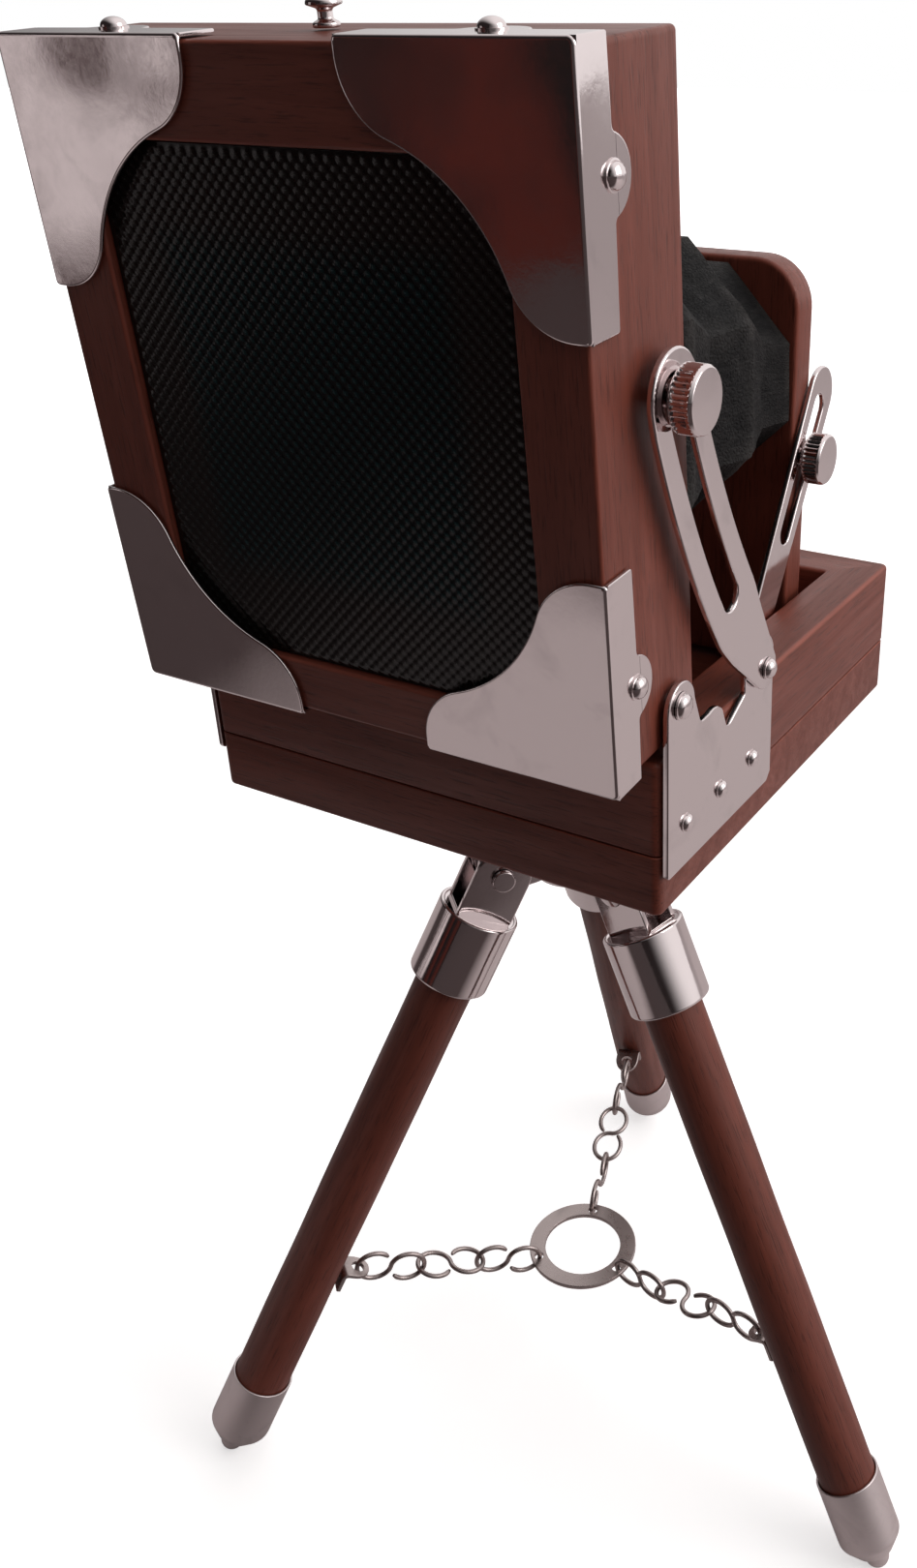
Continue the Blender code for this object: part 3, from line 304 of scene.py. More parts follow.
def make_object(name, shells, finish, sharp=SHARP):
    """Joins shells into one mesh, with the attributes that its finish reads."""
    points = np.concatenate([shell.points.reshape(-1, 3) for shell in shells]) * MM
    faces, start = [], 0
    for shell in shells:
        faces += (shell.faces() + start).tolist()
        faces += [(cap + start).tolist() for cap in shell.cap_faces()]
        start += shell.points.shape[0] * shell.points.shape[1]
    mesh = bpy.data.meshes.new(name)
    mesh.from_pydata(points.tolist(), [], faces)
    grain = np.concatenate([shell.grain.reshape(-1, 3) for shell in shells])
    wear_and_highlight = np.concatenate([shell.wear_and_highlight.ravel() for shell in shells])
    # wear is real edge wear on the wood and the leather, and on the glass the height of its pressed points,
    # painted there as a highlight
    for label, kind, field, values in (("grain", "FLOAT_VECTOR", "vector", grain),
                                       ("wear_and_highlight", "FLOAT", "value", wear_and_highlight)):
        attribute = mesh.attributes.new(label, kind, "POINT")
        attribute.data.foreach_set(field, values.ravel().astype(np.float32))
    bm = bmesh.new()
    bm.from_mesh(mesh)
    bmesh.ops.remove_doubles(bm, verts=bm.verts, dist=WELD)
    bmesh.ops.dissolve_degenerate(bm, edges=bm.edges, dist=SLIVER)
    bmesh.ops.recalc_face_normals(bm, faces=bm.faces)
    flat = [face for face in bm.faces if len(face.verts) > 4]
    bmesh.ops.triangulate(bm, faces=flat, quad_method="BEAUTY", ngon_method="BEAUTY")
    bm.to_mesh(mesh)
    bm.free()
    mesh.shade_smooth()
    mesh.set_sharp_from_angle(angle=math.radians(sharp))
    sides = np.zeros(len(mesh.polygons), np.int32)
    mesh.polygons.foreach_get("loop_total", sides)
    mesh.polygons.foreach_set("use_smooth", sides == 4)
    mesh.materials.append(finish_named(finish))
    piece = bpy.data.objects.new(name, mesh)
    bpy.context.scene.collection.objects.link(piece)
    return piece


def add_piece(name, shells, finish, body, stands_for=None, sharp=SHARP):
    """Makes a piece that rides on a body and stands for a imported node."""
    piece = make_object(name, shells, finish, sharp)
    if body:
        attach(piece, body)
    if stands_for:
        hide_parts(stands_for)
    return piece


def drill(piece, shells):
    """Cuts holes of these shapes and keeps the result as the piece's own mesh."""
    cutter = make_object("drill", shells, piece.data.materials[0].name)
    modifier = piece.modifiers.new("holes", "BOOLEAN")
    modifier.operation = "DIFFERENCE"
    modifier.solver = "EXACT"
    modifier.object = cutter
    graph = bpy.context.evaluated_depsgraph_get()
    made = bpy.data.meshes.new_from_object(piece.evaluated_get(graph), depsgraph=graph)
    piece.modifiers.clear()
    spare = (piece.data, cutter.data)
    piece.data = made
    bpy.data.objects.remove(cutter)
    for mesh in spare:
        bpy.data.meshes.remove(mesh)
    made.name = piece.name
    made.set_sharp_from_angle(angle=math.radians(SHARP))


# ---------------------------------------------------------------- materials

class Graph:
    """A material's nodes, with short calls to add them."""

    def __init__(self, name):
        self.material = bpy.data.materials.new(name)
        self.material.use_nodes = True
        self.tree = self.material.node_tree
        self.shader = self.tree.nodes["Principled BSDF"]

    def add(self, kind, inputs=None, **settings):
        """Adds a node, with its settings, and links or sets its inputs."""
        node = self.tree.nodes.new("ShaderNode" + kind)
        for name, value in settings.items():
            setattr(node, name, value)
        for name, value in (inputs or {}).items():
            self.set(node.inputs[name], value)
        return node

    def set(self, socket, value):
        """Links a socket to another one, or gives it a value."""
        if isinstance(value, bpy.types.NodeSocket):
            self.tree.links.new(value, socket)
        else:
            socket.default_value = value

    def shade(self, **values):
        """Sets the surface shader's inputs, in whose names _ stands for a space."""
        for name, value in values.items():
            self.set(self.shader.inputs[name.replace("_", " ")], value)
        return self.material

    def attribute(self, name):
        """Reads one of the mesh's attributes."""
        return self.add("Attribute", attribute_name=name)

    def noise(self, place, scale, detail=4.0, roughness=0.55, distortion=0.0):
        """Cloudy noise, from 0 to 1."""
        return self.add("TexNoise", {"Vector": place, "Scale": scale, "Detail": detail,
                                     "Roughness": roughness, "Distortion": distortion}).outputs["Fac"]

    def stretched(self, place, scale, location=(0, 0, 0)):
        """A pattern's place, scaled along each axis and then moved."""
        return self.add("Mapping", {"Vector": place, "Scale": scale, "Location": location}).outputs["Vector"]

    def ramp(self, value, low, high, first=0.0, second=1.0):
        """Carries low..high to first..second and holds the ends."""
        return self.add("MapRange", {"Value": value, "From Min": low, "From Max": high,
                                     "To Min": first, "To Max": second}).outputs["Result"]

    def mix(self, factor, first, second, blend="MIX"):
        """Mixes two colours, which are sockets 6 and 7 of a Mix node."""
        node = self.add("Mix", data_type="RGBA", blend_type=blend)
        self.set(node.inputs[0], factor)
        self.set(node.inputs[6], first)
        self.set(node.inputs[7], second)
        return node.outputs[2]

    def math(self, operation, first, second=0.0):
        """One operation on two numbers."""
        node = self.add("Math", operation=operation)
        self.set(node.inputs[0], first)
        self.set(node.inputs[1], second)
        return node.outputs[0]

    def bump(self, height, strength, distance, normal=None):
        """The surface's normal, tipped by a height."""
        inputs = {"Height": height, "Strength": strength, "Distance": distance}
        if normal is not None:
            inputs["Normal"] = normal
        return self.add("Bump", inputs).outputs["Normal"]


def colour(values):
    """An opaque colour, from its red, green and blue."""
    return (*values, 1.0)


OTHER_BOARD = 0.3            # metres to a fresh stretch of the grain, for a frame's end boards


def mitred(g, place):
    """Turns the grain a quarter in the two end boards of a frame, which meet the side boards on
    the line where |along| - |across| is half the difference of the frame's length and width."""
    axes = g.add("SeparateXYZ", {"Vector": place}).outputs
    past = g.math("SUBTRACT", g.math("ABSOLUTE", axes["Z"]), g.math("ABSOLUTE", axes["X"]))
    end = g.add("CombineXYZ", {"X": g.math("ADD", axes["Z"], OTHER_BOARD), "Y": axes["Y"], "Z": axes["X"]})
    board = g.add("Mix", data_type="VECTOR")
    g.set(board.inputs[0], g.math("GREATER_THAN", past, MITRE_OFFSET * MM))
    # sockets 4 and 5 are the two vectors
    g.set(board.inputs[4], place)
    g.set(board.inputs[5], end.outputs["Vector"])
    return board.outputs[1]


def stained_wood(name, finish, tone=1.0, framed=False):
    """Stained hardwood: bands and short dark pores drawn out along the grain, a cloudy stain, and
    a little colour rubbed off the edges."""
    g = Graph(name)
    place = g.attribute("grain").outputs["Vector"]
    if framed:
        place = mitred(g, place)
    across = 1000 / finish.grain_spacing
    bands = g.noise(g.stretched(place, (across, across, across / 16)), 1.0, 5.0, 0.6, 0.8)
    cloud = g.noise(place, 34.0, 3.0, 0.5, 0.4)
    pores = g.noise(g.stretched(place, (2600.0, 2600.0, 150.0)), 1.0, 2.0, 0.7)
    dark = colour([c * tone for c in finish.dark])
    light = colour([c * tone for c in finish.light])
    tint = g.mix(g.ramp(bands, 0.25, 0.75), dark, light)
    tint = g.mix(g.ramp(cloud, 0.35, 0.7, 0.0, 0.55), tint, dark)
    pore = g.ramp(pores, 0.36, 0.46, 1.0, 0.0)
    tint = g.mix(g.math("MULTIPLY", pore, 0.5), tint, colour([c * 0.35 for c in finish.dark]))
    rub = g.math("MULTIPLY", g.attribute("wear_and_highlight").outputs["Fac"], g.ramp(cloud, 0.4, 0.6, 0.15, 0.75))
    tint = g.mix(rub, tint, colour([min(1.0, c * 1.4 * tone) for c in finish.light]))
    rough = g.ramp(bands, 0.3, 0.7, finish.roughness + 0.08, finish.roughness - 0.08)
    height = g.math("SUBTRACT", bands, g.math("MULTIPLY", pore, 0.6))
    normal = g.bump(height, 0.35, 0.00012)
    return g.shade(Base_Color=tint, Roughness=rough, Normal=normal, Specular_IOR_Level=0.35, Coat_Weight=0.06,
                   Coat_Roughness=0.3)


def plated_metal(name, tint, roughness, blotch=0.25, brushed=0.0):
    """Nickel plate: a clear reflection, broken by faint polishing marks, with duller clouded spots."""
    g = Graph(name)
    place = g.add("TexCoord").outputs["Object"]
    cloud = g.noise(place, 90.0, 5.0, 0.6, 0.6)
    fine = g.noise(place, 900.0, 3.0, 0.6)
    spots = g.ramp(cloud, 0.56, 0.72)
    tone = g.mix(g.math("MULTIPLY", spots, blotch), colour(tint), colour([c * 0.55 for c in tint]))
    rough = g.math("ADD", g.ramp(cloud, 0.35, 0.75, roughness, roughness + 0.07),
                   g.ramp(fine, 0.3, 0.7, 0.0, 0.03))
    marks = g.noise(g.stretched(place, (500.0, 500.0, 3500.0)), 1.0, 2.0)
    normal = g.bump(g.math("ADD", fine, g.math("MULTIPLY", marks, brushed)), 0.04, 0.0001)
    wavy = g.bump(g.noise(place, 45.0, 1.0), 0.35, 0.0008, normal)
    return g.shade(Base_Color=tone, Metallic=1.0, Roughness=rough, Normal=wavy)


def grained_leather(name, finish):
    """Thin bookbinder's leather: small rounded cells, creases across them, edges rubbed grey. Its
    colour follows its relief: painted shade in the creases' hollows, a painted highlight on the raised grain.
    """
    g = Graph(name)
    place = g.attribute("grain").outputs["Vector"]
    cells = g.add("TexVoronoi", {"Vector": place, "Scale": 1000 / finish.grain_size},
                  feature="DISTANCE_TO_EDGE").outputs["Distance"]
    crease = g.noise(g.stretched(place, (900.0, 260.0, 900.0)), 1.0, 4.0, 0.65, 1.2)
    cloud = g.noise(place, 60.0, 3.0)
    pebble = g.ramp(cells, 0.0, 0.35)
    rubbed = g.math("MULTIPLY", g.attribute("wear_and_highlight").outputs["Fac"], g.ramp(cloud, 0.35, 0.65, 0.2, 0.9))
    # painted shade and highlight: darker in the hollows of the creases, lighter on their tops
    tone = g.mix(g.ramp(crease, 0.45, 0.75), colour(finish.dark), colour(finish.light))
    # painted highlight: the middle of each raised grain cell is lighter
    tone = g.mix(g.math("MULTIPLY", g.ramp(pebble, 0.7, 1.0), 0.35), tone, colour(finish.light))
    tone = g.mix(rubbed, tone, colour(finish.rubbed))
    height = g.math("ADD", pebble, g.math("MULTIPLY", crease, 1.4))
    normal = g.bump(height, 0.6, 0.0003)
    rough = g.ramp(crease, 0.3, 0.7, 0.75, 0.58)
    return g.shade(Base_Color=tone, Roughness=rough, Normal=normal, Specular_IOR_Level=0.16)


def pressed_glass(name, finish):
    """Dark, faintly green figured glass whose raised points are painted lighter than the hollows
    between them, a painted highlight. The board behind it backs it all round, and it looks deeper
    and greener over the board's window."""
    g = Graph(name)
    place = g.attribute("grain").outputs["Vector"]
    cloud = g.noise(place, 45.0, 4.0)
    axes = g.add("SeparateXYZ", {"Vector": place}).outputs
    beside = g.ramp(g.math("ABSOLUTE", axes["X"]), 0.022, 0.026)
    above = g.ramp(g.math("ABSOLUTE", g.math("SUBTRACT", axes["Y"], 0.001)), 0.022, 0.027)
    backed = g.math("MAXIMUM", beside, above)
    # painted highlight: the raised points take the lighter tint, the hollows between them the deep colour
    points = g.ramp(g.attribute("wear_and_highlight").outputs["Fac"], 0.3, 1.0)
    light = g.mix(backed, colour(finish.tint), colour(finish.backed))
    light = g.mix(g.ramp(cloud, 0.35, 0.65, 0.0, 0.5), light, colour([c * 0.5 for c in finish.tint]))
    deep = g.mix(backed, (0.003, 0.006, 0.007, 1), (0.010, 0.008, 0.0075, 1))
    rough = g.ramp(points, 0.0, 1.0, 0.14, 0.32)
    return g.shade(Base_Color=g.mix(points, deep, light), Roughness=rough, IOR=1.5, Specular_IOR_Level=0.3)


def lens_glass(name):
    """Coated lens glass with a faint violet bloom towards its edge."""
    g = Graph(name)
    facing = g.add("LayerWeight", {"Blend": 0.4}).outputs["Facing"]
    tone = g.mix(facing, (0.25, 0.30, 0.32, 1.0), (0.30, 0.22, 0.42, 1.0))
    return g.shade(Base_Color=tone, Roughness=0.03, Transmission_Weight=0.75, IOR=1.5, Coat_Weight=0.6)


def matt_black(name):
    """Flock paint: near black, with a dusty grain."""
    g = Graph(name)
    place = g.add("TexCoord").outputs["Object"]
    dust = g.noise(place, 700.0, 3.0)
    return g.shade(Base_Color=g.mix(dust, (0.004, 0.004, 0.005, 1), (0.02, 0.018, 0.017, 1)), Roughness=0.85,
                   Normal=g.bump(dust, 0.3, 0.0002))


def finish_named(name):
    """The material of this name, made at its first use."""
    found = bpy.data.materials.get(name)
    if found:
        return found
    camera = bpy.context.scene.view_camera
    metal = camera.metal
    makers = {
        "stained_board": lambda: stained_wood(name, camera.wood),
        "stained_frame": lambda: stained_wood(name, camera.wood, framed=True),
        "stained_stick": lambda: stained_wood(name, camera.wood, 0.85),
        "blackened_board": lambda: stained_wood(name, camera.wood, 0.12),
        "polished_nickel": lambda: plated_metal(name, metal.tint, metal.roughness),
        "brushed_nickel": lambda: plated_metal(name, [c * 0.95 for c in metal.tint], 0.34, 0.35, 0.5),
        "dull_wire": lambda: plated_metal(name, metal.wire_tint, 0.24, 0.7),
        "black_leather": lambda: grained_leather(name, camera.leather),
        "pressed_glass": lambda: pressed_glass(name, camera.glass),
        "coated_glass": lambda: lens_glass(name),
        "matt_black": lambda: matt_black(name),
    }
    return makers[name]()


# ---------------------------------------------------------------- settings that a user would change

class WoodFinish(bpy.types.PropertyGroup):
    light: FloatVectorProperty(name="Light grain", description="Colour of the pale bands", subtype="COLOR",
                               size=3, min=0, max=1, default=(0.235, 0.060, 0.038))
    dark: FloatVectorProperty(name="Dark grain", description="Colour of the dark bands", subtype="COLOR",
                              size=3, min=0, max=1, default=(0.135, 0.030, 0.017))
    grain_spacing: FloatProperty(name="Grain spacing", description="Width of a band in millimetres",
                                 default=3.2, min=0.5, max=20)
    roughness: FloatProperty(name="Roughness", description="Dullness of the polish", subtype="FACTOR",
                             default=0.46, min=0.1, max=0.9)


class MetalFinish(bpy.types.PropertyGroup):
    tint: FloatVectorProperty(name="Nickel", description="Colour of the plating", subtype="COLOR",
                              size=3, min=0, max=1, default=(0.74, 0.675, 0.675))
    wire_tint: FloatVectorProperty(name="Wire", description="Colour of the chains and the ring",
                                   subtype="COLOR", size=3, min=0, max=1, default=(0.40, 0.345, 0.335))
    roughness: FloatProperty(name="Roughness", description="Dullness of the plating", subtype="FACTOR",
                             default=0.05, min=0.02, max=0.6)


class LeatherFinish(bpy.types.PropertyGroup):
    # dark is painted shade in the creases' hollows and light a painted highlight on the raised grain; rubbed
    # is wear on the folds
    dark: FloatVectorProperty(name="Dark", description="Colour in the hollows", subtype="COLOR",
                              size=3, min=0, max=1, default=(0.003, 0.003, 0.0035))
    light: FloatVectorProperty(name="Light", description="Colour of the raised grain", subtype="COLOR",
                               size=3, min=0, max=1, default=(0.012, 0.0115, 0.0115))
    rubbed: FloatVectorProperty(name="Rubbed", description="Colour where folds are worn", subtype="COLOR",
                                size=3, min=0, max=1, default=(0.045, 0.042, 0.040))
    grain_size: FloatProperty(name="Grain size", description="Width of a grain cell in millimetres",
                              default=0.9, min=0.2, max=5)


class GlassFinish(bpy.types.PropertyGroup):
    # the tint and the backed tint colour the raised points of the glass, as their painted highlight
    tint: FloatVectorProperty(name="Tint", description="Colour of the glass", subtype="COLOR",
                              size=3, min=0, max=1, default=(0.008, 0.044, 0.047))
    backed: FloatVectorProperty(name="Backed tint", description="Colour where a board lies behind the glass",
                                subtype="COLOR", size=3, min=0, max=1, default=(0.026, 0.023, 0.021))
    pitch: FloatProperty(name="Pattern pitch", description="Distance between pressed points in millimetres",
                         default=1.95, min=0.8, max=5)
    relief: FloatProperty(name="Relief", description="Height of the pressed points in millimetres",
                          default=0.22, min=0.05, max=1)


class Shapes(bpy.types.PropertyGroup):
    wood_edge: FloatProperty(name="Wood edge", description="Radius of the wooden edges in millimetres",
                             default=0.8, min=0.1, max=3)
    wire: FloatProperty(name="Wire", description="Radius of the chain's wire in millimetres",
                        default=0.55, min=0.2, max=0.7)
    knurl_teeth: IntProperty(name="Knurl teeth", description="Ridges round a clamp knob",
                             default=34, min=8, max=80)
    wrinkle: FloatProperty(name="Wrinkles", description="Depth of the leather's wrinkles in millimetres",
                           default=0.35, min=0, max=1)


class StudioSettings(bpy.types.PropertyGroup):
    key: FloatProperty(name="Key light", description="Power of the large side light", subtype="POWER",
                       default=3.6, min=0, max=200)
    fill: FloatProperty(name="Fill light", description="Power of the light behind the camera",
                        subtype="POWER", default=0.06, min=0, max=200)
    sky: FloatProperty(name="Surrounding light", description="Brightness of the bright half of the room",
                       default=1.05, min=0, max=5)


class ViewCameraSettings(bpy.types.PropertyGroup):
    wood: PointerProperty(type=WoodFinish)
    metal: PointerProperty(type=MetalFinish)
    leather: PointerProperty(type=LeatherFinish)
    glass: PointerProperty(type=GlassFinish)
    shapes: PointerProperty(type=Shapes)
    studio: PointerProperty(type=StudioSettings)


# ---------------------------------------------------------------- tray

def boxed_grain(space, order, middle):
    """Pattern coordinates of a frame of four boards: across, deep, and along from its middle."""
    return lambda points: ((points - space.origin) @ space.axes.T - middle)[..., order] * MM


def build_tray(camera):
    """Two flat solids: the floor board, and the band between the tray's outline and its well's."""
    edge, seam_edge = camera.shapes.wood_edge, 0.25
    half = TRAY_W / 2
    outer = rectangle(-half, 0, half, TRAY_D, 1.5, 6)
    floor = plate(outer, 0, FLOOR_TOP, BED, edge, seam_edge, grain=grain_along(BED, 1, 2, 0))
    add_piece("tray_floor_board", [floor], "stained_board", "bed", "tray_floor")
    inner = rectangle(-half + TRAY_WALL, TRAY_WALL, half - TRAY_WALL, TRAY_D - TRAY_WALL, 0.5, 6)
    rim = plate(outer, RIM_FOOT, RIM_TOP, BED, seam_edge, edge, inner,
                boxed_grain(BED, [0, 2, 1], (0, TRAY_D / 2, 0)))
    add_piece("tray_walls", [rim], "stained_frame", "bed", "tray_rim")


# ---------------------------------------------------------------- side plates, rivets and rear struts

PLATE_X, PLATE_T = TRAY_W / 2 + GAP, 1.0
PLATE_OUT = PLATE_X + PLATE_T
PLATE_BACK, PLATE_FRONT, PLATE_FOOT = 0.4, 38.8, 7.2
FRAME_PIVOT = in_bed(joint_at("rear_frame_fold"))[1:]
STRUT_PIVOT = in_bed(joint_at("rear_strut_swing"))[1:]
STRUT_X, STRUT_T = PLATE_OUT + GAP, 1.0
STRUT_ANGLE = math.radians(124.7)
STRUT_HALF, STRUT_HEAD_R, STRUT_FOOT_R = 6.9, 6.5, 3.7
SHOULDER = 12.0              # along the arm, where its round foot ends
SLOT_FROM, SLOT_TO, SLOT_W = 20.5, 64.5, 5.2
SCREWS = ((6.4, 15.0), (18.6, 15.0), (30.7, 15.0))       # forward, up
PIN_R, RIVET_R = 1.6, 1.5


def beside(side):
    """Outline (forward, up) on the camera's side; depth runs outwards."""
    return lambda u, v, t: BED(side * t, u, v)


def on_side(side, forward, up, x):
    """Turned shapes on an axis along X, whose height runs outwards from x."""
    return lambda a, b, h: BED(side * (x + h), forward + a, up + b)


def side_plate_outline():
    """An ear round the frame's pivot, a dip, a small hump, a notch, and the arm for the strut."""
    def at(forward, up):
        """A point measured from the frame's pivot."""
        return (FRAME_PIVOT[0] + forward, FRAME_PIVOT[1] + up)

    ear = arc(at(0.3, -0.6), 4.3, 180, 4, 16)
    hump = arc(at(11.4, -9.4), 4.0, 112, 38, 8)
    arm = arc(STRUT_PIVOT, 5.75, 180, 20, 14)
    points = [(PLATE_BACK, PLATE_FOOT), *ear, at(6.8, -5.8), *hump, at(16.4, -11.2),
              (27.3, FRAME_PIVOT[1] - 7.8), *arm, (PLATE_FRONT, PLATE_FOOT + 1.5),
              (PLATE_FRONT - 1.5, PLATE_FOOT)]
    radii = [0.8, *[0] * len(ear), 1.2, *[0] * len(hump), 1.2, 0.8, *[0] * len(arm), 0.6, 0.6]
    return rounded(points, radii, 4)[::-1]


def screw_head(radius, height, side, forward, up, x):
    """A domed head on a thin washer-like rim."""
    shape = np.concatenate([[(0, -0.2), (radius * 1.12, -0.2), (radius * 1.12, 0.15)],
                            dome(radius, height, 0.2)[2:]])
    return turned(shape, on_side(side, forward, up, x), 28)


def build_side_plates(camera):
    """A flat outline given a thickness, with turned screw heads, pins and rivets."""
    for name, side in SIDES.items():
        shells = [plate(side_plate_outline(), PLATE_X, PLATE_OUT, beside(side), 0.15, 0.25)]
        shells += [screw_head(1.45, 0.95, side, *spot, PLATE_OUT) for spot in SCREWS]
        add_piece("hinge_plate_" + name, shells, "polished_nickel", "bed", "side_plate_" + name)
        head = screw_head(2.0, 1.1, side, *FRAME_PIVOT, PLATE_OUT + GAP)
        shank = turned(rod(PIN_R, 0, 7, [0, 0.2, 0, 0]), on_side(side, *FRAME_PIVOT, PLATE_X - 5.5), 24)
        add_piece("frame_pivot_pin_" + name, [head, shank], "polished_nickel", "bed",
                  "frame_pivot_" + name)
        head = screw_head(1.7, 1.1, side, *STRUT_PIVOT, STRUT_X + STRUT_T + GAP)
        shank = turned(rod(RIVET_R, 0, 3), on_side(side, *STRUT_PIVOT, PLATE_X), 24)
        add_piece("strut_rivet_" + name, [head, shank], "polished_nickel", "bed",
                  "rear_strut_rivet_" + name)


def strut_bow(run):
    """How far the arm's middle line lies off the straight line, which grows with the run squared."""
    return -1.75 + 0.0028 * (run - 22.0) ** 2


def on_strut(pivot, angle, side, x):
    """Outline (along the strut, across it) on a pivot, rising at this angle from forward."""
    c, s = math.cos(angle), math.sin(angle)
    return lambda u, v, t: BED(side * (x + t), pivot[0] + u * c + v * s, pivot[1] + u * s - v * c)


def strut_loops():
    """The bowed arm and its slot, point for point: foot, upper edge, head, lower edge. Past its
    shoulder the arm widens to its full width over 6 mm."""
    slot, count, turns = SLOT_W / 2, 28, 16
    tip = SLOT_TO - 2.4
    run = np.linspace(SHOULDER, tip - 1, count)
    wide = STRUT_HALF * np.clip(0.87 + 0.13 * (run - SHOULDER) / 6, 0, 1)
    upper = np.stack([run, strut_bow(run) + wide], -1)
    lower = np.stack([run, strut_bow(run) - wide], -1)[::-1]
    outer = np.concatenate([arc((0, 0), STRUT_FOOT_R, 252, 108, turns), upper,
                            arc((tip, strut_bow(tip)), STRUT_HEAD_R, 75, -75, turns), lower])
    first, last = SLOT_FROM + slot, SLOT_TO - slot
    run = np.linspace(first, last, count)
    inner = np.concatenate([
        arc((first, strut_bow(first)), slot, 260, 100, turns),
        np.stack([run, strut_bow(run) + slot], -1),
        arc((last, strut_bow(last)), slot, 80, -80, turns),
        np.stack([run, strut_bow(run) - slot], -1)[::-1]])
    return outer, inner


def build_rear_struts(camera):
    """The band between the bowed arm's outline and its slot, given a thickness."""
    outer, inner = strut_loops()
    for name, side in SIDES.items():
        place = on_strut(STRUT_PIVOT, STRUT_ANGLE, side, STRUT_X)
        shell = plate(outer, 0, STRUT_T, place, 0.12, 0.35, inner)
        add_piece("slotted_arm_" + name, [shell], "polished_nickel", "rear_struts", "rear_strut_" + name)


# ---------------------------------------------------------------- clamp knobs

KNOB_R, KNOB_L, TOOTH = 4.75, 4.35, 0.3
KNURL_FROM, KNURL_TO, KNURL_FADE = 0.85, 3.75, 0.3
SHANK_R, THREAD_PITCH, THREAD_DEPTH = 1.42, 0.55, 0.12
FRONT_KNOB_X = TRAY_W / 2 - TRAY_WALL
SHANK_L = {"rear": 7.8, "front": 6.2}


def knob_shell(place, teeth, shank):
    """A knurled knob with a plain, slightly crowned face, on a threaded shank. The knurl takes
    its radius in and out by the cosine of the angle; the thread does the same along a helix."""
    body = profile((0, -shank, 0), (SHANK_R, -shank, 0.2), (SHANK_R, 0, 0.1), (3.6, 0, 0.25),
                   (4.0, 0.55, 0.3), (KNOB_R, 0.8, 0.25), (KNOB_R, 3.7, 0.3),
                   (KNOB_R - 0.35, KNOB_L - 0.12, 0.3), (0, KNOB_L, 0))
    thread = np.stack([np.full(60, SHANK_R), np.linspace(-shank + 0.4, -0.2, 60)], -1)
    flank = np.stack([np.full(6, KNOB_R), np.linspace(1.1, 3.4, 6)], -1)
    height = body[:, 1]
    outline = np.concatenate([body[height < -shank + 0.3], thread,
                              body[(height >= -0.15) & (height < 1.1)], flank, body[height > 3.4]])

    def ridged(radius, angle, height):
        """The plain radius, less the knurl, and with the thread."""
        knurl = (np.clip((height - KNURL_FROM) / KNURL_FADE, 0, 1)
                 * np.clip((KNURL_TO - height) / KNURL_FADE, 0, 1))
        on_rim = radius > KNOB_R - 0.3
        screw = (radius < 1.5) & (radius > 1) & (height < -0.1)
        radius = radius - on_rim * knurl * TOOTH * (0.5 + 0.5 * np.cos(teeth * angle)) ** 1.5
        return radius + screw * THREAD_DEPTH * np.sin(angle + 2 * math.pi * height / THREAD_PITCH)

    return turned(outline, place, 4 * teeth, ridged)


def build_knobs(camera):
    """A turned, knurled knob on each of the four clamp joints."""
    for name, side in SIDES.items():
        for row, x in (("rear", STRUT_X + STRUT_T + GAP), ("front", FRONT_KNOB_X)):
            node = "%s_knob_%s" % (row, name)
            forward, up = in_bed(joint_at(node + "_turn"))[1:]
            shell = knob_shell(on_side(side, forward, up, x), camera.shapes.knurl_teeth, SHANK_L[row])
            add_piece("clamp_" + node, [shell], "polished_nickel", node, node)


# ---------------------------------------------------------------- rear frame, glass and corners

FRAME_W, FRAME_H, FRAME_T = 90.8, 97.6, 24.5
OPENING_W, OPENING_H, OPENING_LOW = 69.0, 76.5, 8.8
GLASS_FROM, GLASS_TO = 1.0, 3.0
SHIELD_TO = 6.3
SHIELD_WINDOW = (-23, 27, 23, 72)
PANE_HALF, PANE_LOW, PANE_HIGH = OPENING_W / 2 - GAP, OPENING_LOW + GAP, OPENING_LOW + OPENING_H - GAP
CORNER_LEN, FLANGE_W, SHEET = 33.0, 6.2, 0.5
NAIL_AT = 14.6               # along a corner's flange, from the frame's corner
FOOT_ROUND = 5.0             # the frame's lower front edge, which swings past the tray's walls


def upright_frame(u, v, t):
    """Outline (across, up) on the rear frame's back face; depth runs forward."""
    return REAR(u, t, v)


